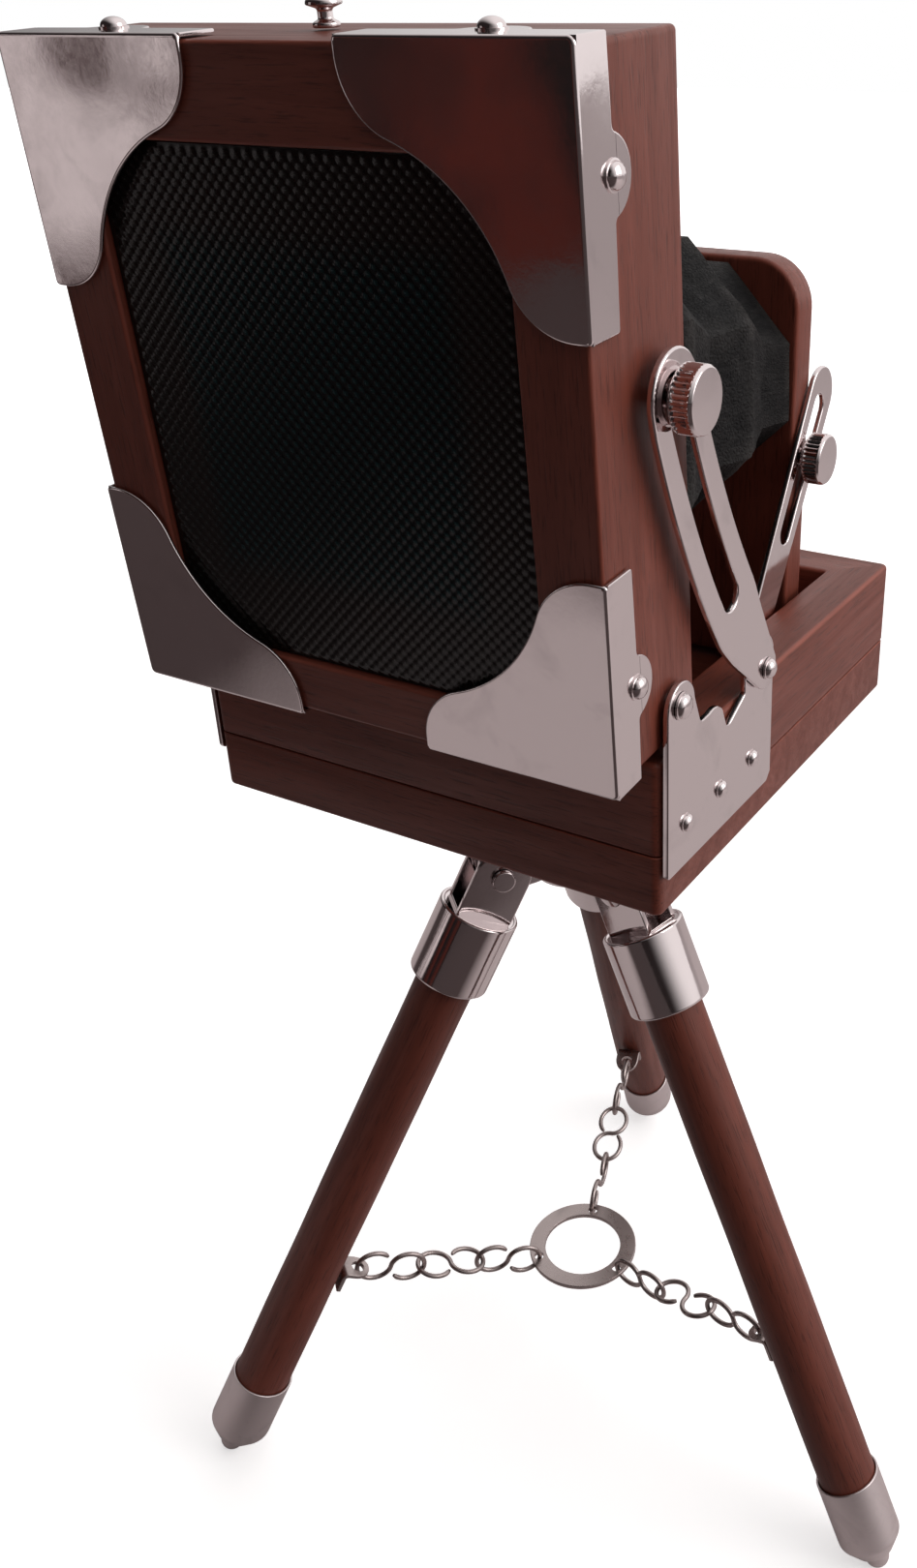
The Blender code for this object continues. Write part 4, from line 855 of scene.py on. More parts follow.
def build_rear_frame(camera):
    """The wooden ring and the board behind the glass are bands between two
    rectangles, given a thickness. The stud on top is turned."""
    edge = camera.shapes.wood_edge * 0.7
    half = FRAME_W / 2
    outer = rectangle(-half, 0, half, FRAME_H, 0.8, 6)
    inner = rectangle(-OPENING_W / 2, OPENING_LOW, OPENING_W / 2, OPENING_LOW + OPENING_H, 1.0, 6)
    front_edge = np.where(outer[:, 1] < 0.9, FOOT_ROUND, edge)
    shell = plate(outer, 0, FRAME_T, upright_frame, edge, front_edge, inner,
                  boxed_grain(REAR, [0, 1, 2], (0, 0, FRAME_H / 2)))
    add_piece("rear_frame_wood", [shell], "stained_frame", "rear_frame", "rear_frame")

    pane = dense(rectangle(-PANE_HALF, PANE_LOW, PANE_HALF, PANE_HIGH, 1.0, 4), 8)
    window = dense(rectangle(*SHIELD_WINDOW, 1.0, 4), 8)
    count = min(len(pane), len(window))
    pane, window = (loop_points(loop, count) for loop in (pane, window))
    board = plate(pane, GLASS_TO + GAP, SHIELD_TO, upright_frame, 0.2, hole=window,
                  grain=grain_along(REAR, 0, 1, 2))
    add_piece("light_shield_board", [board], "blackened_board", "rear_frame", "light_shield")
    stud = profile((0, 0, 0), (1.8, 0, 0.2), (1.8, 0.6, 0.3), (1.0, 1.0, 0.3), (1.0, 2.2, 0.4),
                   (2.4, 2.7, 0.25), (2.4, 3.4, 0.6), (0, 3.9, 0))
    shell = turned(stud, lambda a, b, h: REAR(a, FRAME_T * 0.55 + b, FRAME_H + GAP + h), 40)
    add_piece("top_stud", [shell], "polished_nickel", "rear_frame", "top_knob")


def loop_points(loop, count):
    """The closed outline, told by the same number of points spread evenly along its length from
    the point nearest its lower right corner."""
    start = np.argmax(loop[:, 0] - loop[:, 1])
    loop = np.roll(loop, -start, 0)
    ring = np.concatenate([loop, loop[:1]])
    length = np.concatenate([[0], np.cumsum(np.linalg.norm(np.diff(ring, axis=0), axis=1))])
    at = np.linspace(0, length[-1], count, endpoint=False)
    return np.stack([np.interp(at, length, ring[:, i]) for i in (0, 1)], -1)


def build_glass(camera):
    """The viewer's side is pressed into rows of small diamond points: its relief is the cosine
    across times the cosine upwards, so every second crossing of a square grid stands out."""
    finish = camera.glass
    smooth_rim = 0.4
    columns, rows = (5 * round(size / finish.pitch) + 1 for size in (2 * PANE_HALF, PANE_HIGH - PANE_LOW))
    u, v = np.meshgrid(np.linspace(-PANE_HALF, PANE_HALF, columns), np.linspace(PANE_LOW, PANE_HIGH, rows))
    raised = 0.5 + 0.5 * np.cos(2 * math.pi * u / finish.pitch) * np.cos(2 * math.pi * v / finish.pitch)
    rim = (np.abs(u) > PANE_HALF - smooth_rim) | (v < PANE_LOW + smooth_rim) | (v > PANE_HIGH - smooth_rim)
    raised = np.where(rim, 0.0, raised ** 1.5)
    front = REAR(u, GLASS_FROM + finish.relief * (1 - raised), v)
    back = REAR(u, GLASS_TO + 0 * u, v)

    def border(grid):
        """The points round the edge of a grid."""
        return np.concatenate([grid[0], grid[1:, -1], grid[-1, -2::-1], grid[-2:0:-1, 0]])

    wall = np.stack([border(front), border(back)])
    across = np.stack([u, v - (PANE_LOW + PANE_HIGH) / 2, 0 * u], -1) * MM
    # the pressed points' height is stored with the wear values; the glass paints the raised points lighter as
    # a painted highlight
    shells = [Shell(front, grain=across, wear_and_highlight=raised), Shell(back), Shell(wall, False, True)]
    add_piece("pressed_glass_pane", shells, "pressed_glass", "rear_frame", "ground_glass", sharp=60)


def ogee():
    """A corner's free edge, from one edge of the frame to the other: round tip, hollow, round tip."""
    tip, tip_r, waist = np.array((1.5, CORNER_LEN - 9.9)), 9.9, np.array((35.0, 35.0))
    turn = math.degrees(math.atan2(*(waist - tip)[::-1]))
    first = arc(tip, tip_r, 90, turn, 18)
    hollow = arc(waist, np.linalg.norm(waist - tip) - tip_r, 180 + turn, 270 - turn, 22)
    return np.concatenate([first, hollow[1:-1], first[::-1, ::-1]])


def flange_outline(start, fold):
    """A strip along the frame's edge, (along, forward), with a round lobe for its nail."""
    lobe = arc((NAIL_AT, FLANGE_W - 0.6), 5.0, 170, 10, 18)
    points = [(CORNER_LEN, FLANGE_W), (CORNER_LEN, fold + 0.3), (CORNER_LEN, fold), (start, fold),
              (start, fold + 0.3), (start, FLANGE_W), *lobe]
    return rounded(points, [0.5, 0, 0, 0, 0, 0.3, 0.8, *[0] * (len(lobe) - 2), 0.8], 3)


def sheet_outline(high):
    """A corner's face, (inwards from the frame's side, inwards from its end): two straight ends,
    the free edge between them, and the rounded corner where its sides are folded."""
    side_end = rounded([(-high, CORNER_LEN - 1), (-high, CORNER_LEN), (1.0, CORNER_LEN)], 0.6, 4, False)
    other_end = rounded([(CORNER_LEN, 1.0), (CORNER_LEN, -high), (CORNER_LEN - 1, -high)], 0.6, 4, False)
    fold = arc((1 - high, 1 - high), 1.0, 270, 180, 6)
    return np.concatenate([side_end[:-1], ogee(), other_end[1:], fold])


def corner_places(side, edge, up):
    """Where a corner's face, its flange beside the frame and its flange over the frame's end lie."""
    half = FRAME_W / 2
    return (lambda a, b, t: REAR(side * (half - a), -t, edge + up * b),
            lambda a, b, t: REAR(side * (half + t), b, edge + up * a),
            lambda a, b, t: REAR(side * (half - a), b, edge - up * t))


def build_corners(camera):
    """Each corner is three flat sheets that meet along its folds, and a turned nail on each
    flange."""
    low, high, bend = GAP, GAP + SHEET, 0.45
    loop = sheet_outline(high)
    folded = (loop[:, 0] < -0.1) | (loop[:, 1] < -0.1)
    nail = np.concatenate([[(0, 0), (2.0, 0), (2.0, 0.2)], dome(1.75, 1.15, 0.25, 7)[2:]])
    for side_name, side in SIDES.items():
        for level, edge, up in (("bottom", 0, 1), ("top", FRAME_H, -1)):
            face, beside_frame, over_frame = corner_places(side, edge, up)
            shells = [plate(loop, low, high, face, np.where(folded, 0.0, 0.08), np.where(folded, bend, 0.25))]
            for place, start in ((beside_frame, -high), (over_frame, -low)):
                outline = flange_outline(start, -low)
                at_fold = outline[:, 1] < 0
                shells.append(plate(outline, low, high, place, 0.0, np.where(at_fold, 0.0, 0.2)))
                shells.append(turned(
                    nail, lambda a, b, h, p=place: p(NAIL_AT + a, FLANGE_W + b, high + h), 28))
            node = "corner_%s_%s" % (level, side_name)
            add_piece(node + "_sheet", shells, "polished_nickel", "rear_frame", node)


# ---------------------------------------------------------------- front standard, its struts, the lens

HINGE = in_bed(joint_at("front_standard_tilt"))[1:]
STANDARD_W, STANDARD_T, STANDARD_TOP = 68.6, 6.7, 90.4
LENS_UP = in_bed(joint_at("lens_ring_turn"))[2]
FRONT_FACE = HINGE[0] + STANDARD_T / 2
FRONT_PIVOT = in_bed(joint_at("front_strut_swing"))[1:]


def on_lens(a, b, h):
    """Turned shapes on the lens axis, whose height runs forward from the board's face."""
    return BED(a, FRONT_FACE + h, LENS_UP + b)


def build_standard(camera):
    """A flat board between its outline and the lens's hole, and a turned rod."""
    half, low = STANDARD_W / 2, HINGE[1] - 3.4
    outer = dense(rounded([(half, low), (half, STANDARD_TOP), (-half, STANDARD_TOP), (-half, low)],
                          [0.6, 9.0, 9.0, 0.6], 12), 4)
    hole = round_hole(outer, (0, LENS_UP), 12.3)
    board = plate(outer, -STANDARD_T, 0, lambda u, v, t: BED(u, FRONT_FACE + t, v),
                  camera.shapes.wood_edge, hole=hole, grain=grain_along(BED, 0, 1, 2))
    add_piece("lens_board_wood", [board], "stained_board", "front_standard", "front_standard")
    reach = TRAY_W / 2 - TRAY_WALL + 5
    shell = turned(rod(RIVET_R, -reach, reach, 0.3), on_side(1, *HINGE, 0), 28)
    add_piece("board_hinge_rod", [shell], "brushed_nickel", "bed", "standard_hinge_rod")


def build_front_struts(camera):
    """Straight arms, each the band between a long outline with round ends and its slot, with
    turned rivets."""
    knob_up = in_bed(joint_at("front_knob_left_turn"))[2]
    angle = math.atan2(knob_up - FRONT_PIVOT[1], HINGE[0] - FRONT_PIVOT[0])
    half, foot, tip = 5.3, 4.3, 57.7
    slot, first, last = 2.3, 28.4, 57.8
    outer = np.concatenate([arc((0, 0), foot, 262, 98, 18), arc((tip, 0), half, 90, -90, 22)])
    inner = np.concatenate([arc((first + slot, 0), slot, 262, 98, 18),
                            arc((last - slot, 0), slot, 90, -90, 22)])
    x = TRAY_W / 2 - TRAY_WALL - GAP - STRUT_T
    for name, side in SIDES.items():
        shell = plate(outer, 0, STRUT_T, on_strut(FRONT_PIVOT, angle, side, x), 0.3, hole=inner)
        add_piece("front_arm_" + name, [shell], "polished_nickel", "front_struts", "front_strut_" + name)
        place = on_side(side, *FRONT_PIVOT, x - GAP)
        head = turned(dome(1.9, 1.2, 0.1) * (1, -1), place, 28)
        shank = turned(rod(RIVET_R, 0, 6.4), place, 24)
        add_piece("front_arm_rivet_" + name, [head, shank], "polished_nickel", "bed",
                  "front_strut_rivet_" + name)


def build_lens(camera):
    """Every part of the lens is turned on its axis. Heights start at the lens board's face."""
    flange = profile((13.8, 0.3, 0.1), (19.0, 0.3, 0.2), (19.0, 1.7, 0.3), (17.6, 2.5, 0.4),
                     (13.8, 2.5, 0.1), closed=True)
    shells = [turned(flange, on_lens, 96, closed=True)]
    screw_circle = 16.4
    for angle in np.radians((90, 210, 330)):
        x, y = screw_circle * math.cos(angle), screw_circle * math.sin(angle)
        shells.append(turned(dome(1.1, 0.55, 2.3), lambda a, b, h, x=x, y=y: on_lens(x + a, y + b, h), 24))
    add_piece("lens_mount_flange", shells, "polished_nickel", "front_standard", "lens_flange")
    tube = profile((10.5, -4.7, 0.1), (11.7, -4.7, 0.1), (11.7, 0.6, 0.1), (13.5, 0.6, 0.1),
                   (13.5, 6.0, 0.15), (13.2, 6.4, 0.15), (13.2, 15.2, 0.15), (13.5, 15.6, 0.15),
                   (13.5, 17.3, 0.35), (11.9, 17.3, 0.35), (11.3, 15.4, 0.3), (10.5, 14.8, 0.2),
                   closed=True)
    add_piece("lens_tube", [turned(tube, on_lens, 96, closed=True)], "polished_nickel",
              "front_standard", "lens_barrel")
    teeth, tooth, low, high = 72, 0.35, 8.3, 12.7
    ring = profile((13.8, 7.5, 0.1), (15.2, 7.5, 0.3), (15.95, low, 0.3), (15.95, high, 0.3),
                   (15.2, 13.5, 0.3), (13.8, 13.5, 0.1), closed=True)

    def ridged(radius, angle, height):
        """The plain radius, less the grip's ridges by the cosine of the angle."""
        rim = (radius > 15.5) * np.clip((height - low) / 0.3, 0, 1) * np.clip((high - height) / 0.3, 0, 1)
        return radius - rim * tooth * (0.5 + 0.5 * np.cos(teeth * angle))

    add_piece("focus_ring", [turned(dense(ring, 0.6), on_lens, 4 * teeth, ridged, closed=True)],
              "polished_nickel", "lens_ring", "lens_ring")
    a = np.radians(np.linspace(0, 90, 14))
    bulge = np.stack([10.2 * np.cos(a), 9.3 + 3.6 * np.sin(a)], -1)
    hollow = np.stack([10.2 * np.sin(a), 8.3 + 0.6 * (1 - np.cos(a))], -1)
    add_piece("front_element", [turned(np.concatenate([hollow, bulge]), on_lens, 64)], "coated_glass",
              "front_standard", "front_lens")
    baffle = rounded([(5.2, 3.0), (10.3, 3.0), (10.3, 7.6), (9.4, 7.6), (5.2, 4.6)], 0.15, 3)
    add_piece("lens_baffle", [turned(baffle, on_lens, 64, closed=True)], "matt_black", "front_standard")


# ---------------------------------------------------------------- bellows

# (forward, half width, bottom, top) of each ridge and hollow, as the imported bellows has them
FOLDS = np.array((
    (5.0, 31.0, 42.0, 103.0), (14.0, 33.2, 41.0, 104.0), (24.0, 31.0, 44.0, 99.5),
    (34.0, 33.6, 43.5, 100.0), (44.0, 31.5, 47.0, 95.0), (56.0, 33.8, 46.5, 95.5),
    (64.0, 32.0, 49.5, 90.5), (72.95, 33.2, 49.0, 89.0)))
LEATHER_T = 0.7
SPLIT = 44.0                 # where the rear half meets the front half
CUT = 13.0                   # off each corner of a ring
GIRTH_R = 34                 # radius of the circle that the leather's pattern is wrapped round
# octagon corners of a ring: side and end of the rectangle, then which way its cut goes
CORNERS = ((1, -1, 0, 1), (1, 1, 0, -1), (1, 1, -1, 0), (-1, 1, 1, 0),
           (-1, 1, 0, -1), (-1, -1, 0, 1), (-1, -1, 1, 0), (1, -1, -1, 0))


def bellows_grid(places, inset, wrinkle):
    """Rings along the bellows. Each is a rectangle with cut corners, whose size follows the folds
    by straight runs, and whose sides sink a little between the corners. Wrinkles are a sum of
    slanting waves across the leather, which fade out at both ends."""
    half, low, high = (np.interp(places, FOLDS[:, 0], FOLDS[:, i])[:, None] for i in (1, 2, 3))
    half, low, high = half - inset, low + inset, high - inset
    corners = [np.concatenate([x * half + cx * CUT, (high if z > 0 else low) + cz * CUT], -1)
               for x, z, cx, cz in CORNERS]
    s = (np.arange(14) / 14)[None, :, None]
    ring = np.concatenate([a[:, None] + (b - a)[:, None] * s
                           for a, b in zip(corners, corners[1:] + corners[:1])], 1)
    middle = np.stack([0 * half, (low + high) / 2], -1)
    around = np.linspace(0, 2 * math.pi, ring.shape[1], endpoint=False)[None]
    along = places[:, None]
    fade = np.clip((places - 6) / 6, 0, 1) * np.clip((72 - places) / 5, 0, 1)
    waves = (np.sin(0.55 * along + 9 * around) + 0.8 * np.sin(0.9 * along - 15 * around + 1.3)
             + 0.6 * np.sin(1.7 * along + 23 * around + 0.4))
    fold = np.interp(places, FOLDS[:, 0], np.arange(len(FOLDS)) % 2)
    sink = 0.005 * np.cos(4 * around) * (0.4 + fold[:, None])
    factor = 1 - sink + wrinkle * 0.012 * waves * fade[:, None]
    flat = middle + (ring - middle) * np.minimum(factor, 1.006)[..., None]
    return BED(flat[..., 0], along + 0 * around, flat[..., 1]), around, fold


def build_bellows(camera):
    """Each half is an outer and an inner wall of rings, joined at both ends."""
    wrinkle = camera.shapes.wrinkle
    made = []
    for name, folds, node in (("rear", FOLDS[:5, 0], "bellows"), ("front", FOLDS[4:, 0], None)):
        places = np.concatenate([np.linspace(a, b, 9)[:-1] for a, b in zip(folds, folds[1:])] + [folds[-1:]])
        outside, around, fold = bellows_grid(places, 0, wrinkle)
        inside = bellows_grid(places, LEATHER_T, wrinkle)[0]
        girth = np.concatenate([around + 0 * places[:, None]] * 2) * GIRTH_R
        along = np.concatenate([places, places[::-1]])[:, None] + 0 * girth
        grain = np.stack([girth, along, 0 * girth], -1) * MM
        peak = np.clip((fold - 0.75) / 0.25, 0, 1)
        side_corner = np.abs(np.cos(4 * around)) ** 12
        wear_and_highlight = np.clip(peak[:, None] * 0.8 + side_corner * 0.35, 0, 1)
        wear_and_highlight = np.concatenate([wear_and_highlight, wear_and_highlight * 0])
        shell = Shell(np.concatenate([outside, inside[::-1]]), True, True, grain, wear_and_highlight)
        made.append(add_piece("bellows_leather_" + name, [shell], "black_leather", None, node, sharp=28))

    def on_axis(forward):
        """A world point on the lens axis, in metres."""
        return tuple(BED(0, forward, LENS_UP) * MM)

    rear, front = made
    on_axis(12)
    on_axis(SPLIT)
    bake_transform(rear)
    on_axis(SPLIT)
    on_axis(70)
    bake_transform(front)


# ---------------------------------------------------------------- tripod

LEGS = (1, 2, 3)
LEG_LEN, DOWEL_R = 162.5, 6.35
SOCKET_R, SOCKET_TOP, SOCKET_L, SOCKET_CAP = 8.55, 9.7, 17.0, 1.6
SOCKET_END = SOCKET_TOP + SOCKET_L
LEAF_R, LEAF_IN, LEAF_OUT = 6.0, 3.0, 4.2        # the socket's two leaves, beside the hub's lug
HUB_R, HUB_LOW = 8.4, -31.2
HUB_FLANGE_R, HUB_FLANGE_LOW = 20, -3.9
LUG_R, LUG_HALF = 4.6, 2.7
FERRULE_R, BALL_R = 6.95, 2.7


def circle_section(radius, steps=10):
    """The outline of a round wire."""
    return arc((0, 0), radius, 0, 360 - 360 / steps, steps - 1)


def level_at(origin):
    """Across, along and up from a place, in the world's directions."""
    return lambda a, b, h: origin + np.stack(np.broadcast_arrays(a, b, h), -1)


def build_hub(camera):
    """A turned body on a flange, under a spindle for the tray, with a lug for each leg."""
    hub_origin = joint_at("pan")
    upright = level_at(hub_origin)
    body = profile((0, HUB_LOW, 0), (HUB_R, HUB_LOW, 2.6), (HUB_R, HUB_FLANGE_LOW, 1.2),
                   (HUB_FLANGE_R, HUB_FLANGE_LOW, 0.8), (HUB_FLANGE_R, -GAP, 0.5), (3.0, -GAP, 0.2),
                   (3.0, 8.0, 0.4), (0, 8.0, 0), steps=6)
    shells = [turned(body, upright, 72)]
    for number in LEGS:
        pivot = joint_at("leg_%d_fold" % number) - hub_origin
        out = pivot[:2] / np.linalg.norm(pivot[:2])
        reach, down = float(pivot[:2] @ out), pivot[2]
        root = [(HUB_R, down + 9.6), (4, down + 9.6), (4, down - 2.4), (HUB_R, down - 3.4)]
        loop = np.concatenate([arc((reach, down), LUG_R, -80, 90, 14), root])
        shells.append(plate(
            loop, -LUG_HALF, LUG_HALF,
            lambda u, v, t, out=out: upright(u * out[0] - t * out[1], u * out[1] + t * out[0], v), 0.3))
    add_piece("tripod_hub_metal", shells, "polished_nickel", "hub", "tripod_hub")


def socket_shells(place):
    """A drawn cup with a folded seam and a flat floor, and two upright leaves from a bent strip."""
    top, end, cap, bore = -SOCKET_TOP, -SOCKET_END, -SOCKET_TOP - SOCKET_CAP, DOWEL_R + GAP
    cup = profile((0, top - 0.35, 0), (SOCKET_R - 0.9, top - 0.35, 0.2), (SOCKET_R - 0.75, top, 0.2),
                  (SOCKET_R, top, 0.45), (SOCKET_R, end, 0.5), (bore, end, 0.3), (bore, cap, 0.2),
                  (0, cap, 0), steps=5)
    wall = np.stack([np.full(8, SOCKET_R), np.linspace(top - 1.2, end + 1.2, 8)], -1)
    cut = np.argmax(cup[:, 1] < top - 5)
    cup = np.concatenate([cup[:cut], wall, cup[cut:]])

    def seam(radius, angle, height):
        """A narrow groove at the sheet's edge, and a shallow hollow beside it."""
        off = (angle - math.radians(118) + math.pi) % (2 * math.pi) - math.pi
        outside = (radius > SOCKET_R - 0.6) & (height < top - 0.3)
        groove = 0.16 * np.exp(-(off / 0.022) ** 2)
        lap = 0.05 * np.exp(-((off - 0.06) / 0.05) ** 2)
        return radius - outside * (groove + lap)

    shells = [turned(cup, place, 180, seam)]
    base = top - 0.6
    leaf = np.concatenate([arc((0, 0), LEAF_R, 180, 0, 24),
                           [(LEAF_R, base + 1), (5.6, base), (-5.6, base), (-LEAF_R, base + 1)]])
    for low, high in ((-LEAF_OUT, -LEAF_IN), (LEAF_IN, LEAF_OUT)):
        shells.append(plate(leaf, low, high, lambda u, v, t: place(u, t, v), 0.25))
    floor = rectangle(-5.9, -4.15, 5.9, 4.15, 0.5, 3)
    shells.append(plate(floor, top - 0.5, top + 0.35, place, 0.2))
    return shells


def build_legs(camera):
    """A turned stick for each leg, with its socket, bolt and foot."""
    for number in LEGS:
        place, body = leg_space(number), "leg_%d" % number
        low, high = -LEG_LEN + 18.0, -SOCKET_TOP - SOCKET_CAP - GAP
        wall = np.stack([np.full(60, DOWEL_R), np.linspace(high, low, 60)], -1)
        stick = np.concatenate([[(0, high)], wall, [(0, low)]])

        def turned_by_hand(radius, angle, height, number=number):
            """A hand-rubbed stick is a hair out of round, and that wanders slowly along it."""
            wander = 0.035 * np.sin(2 * angle + 0.11 * height + number)
            wander = wander + 0.03 * np.sin(0.19 * height + 2 * number)
            return radius - (radius > 1) * (0.05 + wander)

        shell = turned(stick, place, 56, turned_by_hand, grain=grain_along(place, 0, 1, 2))
        add_piece("leg_stick_%d" % number, [shell], "stained_stick", body, "leg_dowel_%d" % number)
        add_piece("leg_cup_%d" % number, socket_shells(place), "polished_nickel", body,
                  "leg_socket_%d" % number)
        bolt = profile((0, -5.5, 0), (2.4, -5.5, 0.3), (2.4, -4.5, 0.1), (PIN_R, -4.5, 0.1),
                       (PIN_R, 4.5, 0.1), (3.2, 4.5, 0.1), (3.2, 5.2, 0.35), (0, 6.0, 0))
        shell = turned(bolt, lambda a, b, h, p=place: p(a, -h, b), 36)
        add_piece("leg_bolt_%d" % number, [shell], "polished_nickel", "hub", "leg_pin_%d" % number)
        build_foot(number, place)


def build_foot(number, place):
    """A sheet ferrule with a cone below it and a ball under that, flat where it meets the ground."""
    tip, bore = -LEG_LEN, DOWEL_R + 0.12
    cap = profile((0, tip + 17.7, 0), (bore, tip + 17.7, 0.2), (bore, tip + 23.2, 0.15),
                  (FERRULE_R, tip + 23.2, 0.2), (FERRULE_R, tip + 8.2, 1.2), (4.3, tip + 4.5, 0.5),
                  (BALL_R, tip + 4.3, 0.15), (BALL_R, tip + 3.2, 0), steps=5)
    a = np.radians(np.linspace(0, 90, 10))
    ball = np.stack([BALL_R * np.cos(a), tip + BALL_R - BALL_R * np.sin(a)], -1)

    def on_ground(x, y, h):
        """Flattens the ball where it would sink below the ground."""
        points = place(x, y, h)
        points[..., 2] = np.maximum(points[..., 2], 0)
        return points

    add_piece("foot_ferrule_%d" % number, [turned(np.concatenate([cap[:-1], ball]), on_ground, 64)],
              "brushed_nickel", "leg_%d" % number, "foot_cap_%d" % number)


# ---------------------------------------------------------------- chains and their ring

RING_Z = -139.5              # the ring's middle, from the pan joint
RING_R, RING_HOLE_R, RING_HALF = 12.9, 9.1, 0.5
RING_HOLE_AT = 11.0
TAB_Z = -LEG_LEN + 56.6
TAB_HALF_W, TAB_HALF_T, TAB_BEND = 3.0, 0.48, 0.5
LINKS, LINK_W, LINK_OVERLAP, LINK_CLIMB = 3, 6.8, 0.65, 0.7
PATH_POINTS = 80


def chain_ends(number):
    """From the hole in the leg's tab to the hole in the ring, with the chain's level side."""
    start = joint_at("chain_%d_swing" % number)
    side = np.array(JOINTS["chain_%d_swing" % number]["axis"])
    out = np.array((side[1], -side[0], 0))
    ring = joint_at("pan") + np.array((0, 0, RING_Z))
    return start, ring + out * RING_HOLE_AT, side


def build_tabs(camera):
    """A strip up the stick, bent outwards, with a half-round end: its width falls as the cosine
    while its length grows as the sine."""
    back = -DOWEL_R - GAP
    for number in LEGS:
        place = leg_space(number)
        bend = rounded([(back - TAB_BEND, TAB_Z - 5.0), (back - TAB_BEND, TAB_Z - TAB_BEND),
                        (back - TAB_HALF_W, TAB_Z - TAB_BEND)], 0.9, 8, closed=False)
        a = np.radians(np.linspace(0, 84, 13))[1:, None]
        run = np.concatenate([bend, bend[-1:] - (3.4, 0) * np.sin(a)])
        path = place(run[:, 0], 0, run[:, 1])
        side = np.repeat(place.axes[1][None], len(path), 0)
        section = rectangle(-TAB_HALF_W, -TAB_HALF_T, TAB_HALF_W, TAB_HALF_T, 0.2, 3)
        width = np.concatenate([np.ones(len(bend)), np.cos(a[:, 0]) ** 0.8])
        strip = carried(path, side, section, np.stack([width, np.ones(len(run))], -1))
        tab = add_piece("chain_eye_%d" % number, [strip], "dull_wire", "leg_%d" % number,
                        "chain_tab_%d" % number)
        eye = back - 3.8
        drill(tab, [turned(rod(1.5, -3, 3),
                           lambda a, b, h, p=place: p(eye + a, b, TAB_Z - TAB_BEND + h), 32)])


def link_path(middle, along, across, over, length, width, gap):
    """A figure of eight made of two ovals that meet in the middle: the first is run from just past
    the meeting round to it, and the second on from it the other way round, almost back. The wire
    climbs from end to end, so that it passes itself."""
    t = np.linspace(gap, 4 * math.pi - gap, PATH_POINTS)[:, None]
    first = t < 2 * math.pi
    u = np.where(first, np.cos(t) - 1, 1 - np.cos(t)) * length / 4
    v = np.sin(t) * width / 2
    return middle + along * u + across * v + over * (LINK_CLIMB * (t / (2 * math.pi) - 1))


def build_chains(camera):
    """Straight rows of links, each turned a quarter from the last. The wire's ends are rounded:
    over the last three points its radius falls as a quarter circle does."""
    wire = camera.shapes.wire
    draw = np.random.default_rng(7)
    nearest_end = np.minimum(np.arange(PATH_POINTS), np.arange(PATH_POINTS)[::-1])
    taper = np.sqrt(np.clip(1 - (1 - np.minimum(nearest_end / 3 + 0.25, 1)) ** 2, 0, 1))
    for number in LEGS:
        start, end, level = chain_ends(number)
        span = np.linalg.norm(end - start)
        along = (end - start) / span
        raised = np.cross(level, along)
        length = (span + 2 * (LINKS - 1) * LINK_OVERLAP) / LINKS
        for index in range(LINKS):
            middle = start + along * (length / 2 + index * (length - 2 * LINK_OVERLAP))
            across, over = (raised, level) if index % 2 == 0 else (level, raised)
            width, gap = LINK_W + draw.uniform(-0.3, 0.3), draw.uniform(0.5, 0.75)
            path = link_path(middle, along, across, over, length, width, gap)
            side = np.repeat(over[None], len(path), 0)
            shell = carried(path, side, circle_section(wire, 12), np.stack([taper, taper], -1))
            node = "chain_link_%d_%d" % (number, index + 1)
            add_piece("wire_" + node, [shell], "dull_wire", "chain_%d" % number, node)


def build_ring(camera):
    """A flat washer, drilled for the last link of each chain."""
    centre = joint_at("pan") + np.array((0, 0, RING_Z))
    flat = level_at(centre)
    outer, inner = (arc((0, 0), r, 0, 355, 71) for r in (RING_R, RING_HOLE_R))
    ring = add_piece("spreader_washer", [plate(outer, -RING_HALF, RING_HALF, flat, 0.15, hole=inner)],
                     "dull_wire", "spreader", "spreader_ring")
    holes = []
    for number in LEGS:
        spot = (chain_ends(number)[1] - centre)[:2]
        holes.append(turned(rod(1.15, -2, 2), lambda a, b, h, s=spot: flat(s[0] + a, s[1] + b, h), 24))
    drill(ring, holes)


# ---------------------------------------------------------------- stage

FLOOR_HALF, FLOOR_DROP = 6.0, 0.0005     # metres, as is everything on the stage
LOOK_AT = (0.013, 0.02, 0.22)
EYE_AT = (-0.12098, 0.21706, 0.3017)
EYE_TURN = (63.44, 0.1, 208.81)          # degrees
WHITE = (1, 1, 1, 1)
SKY_FROM = (-0.50, -0.70, 0.51)          # the way to the room's brightest part
ROOM_SHADE = (0.022, 0.017, 0.017, 1)


def add_light(name, place, size, power, tint):
    """A square lamp that shines at the object."""
    data = bpy.data.lights.new(name, "AREA")
    data.shape = "SQUARE"
    data.size = size
    data.energy = power
    data.color = tint
    light = bpy.data.objects.new(name, data)
    bpy.context.scene.collection.objects.link(light)
    light.location = place
    light.rotation_euler = (Vector(LOOK_AT) - Vector(place)).to_track_quat("-Z", "Y").to_euler()


def add_board(name, corners, make, seen=True):
    """A flat stage surface."""
    mesh = bpy.data.meshes.new(name)
    mesh.from_pydata(corners, [], [(0, 1, 2, 3)])
    board = bpy.data.objects.new(name, mesh)
    bpy.context.scene.collection.objects.link(board)
    mesh.materials.append(make(Graph(name)))
    board.visible_camera = seen


def add_screen(name, first, second, height, make):
    """An upright board on the ground, out of sight, that only the metal mirrors."""
    corners = [(*first, 0), (*second, 0), (*second, height), (*first, height)]
    add_board(name, corners, make, seen=False)


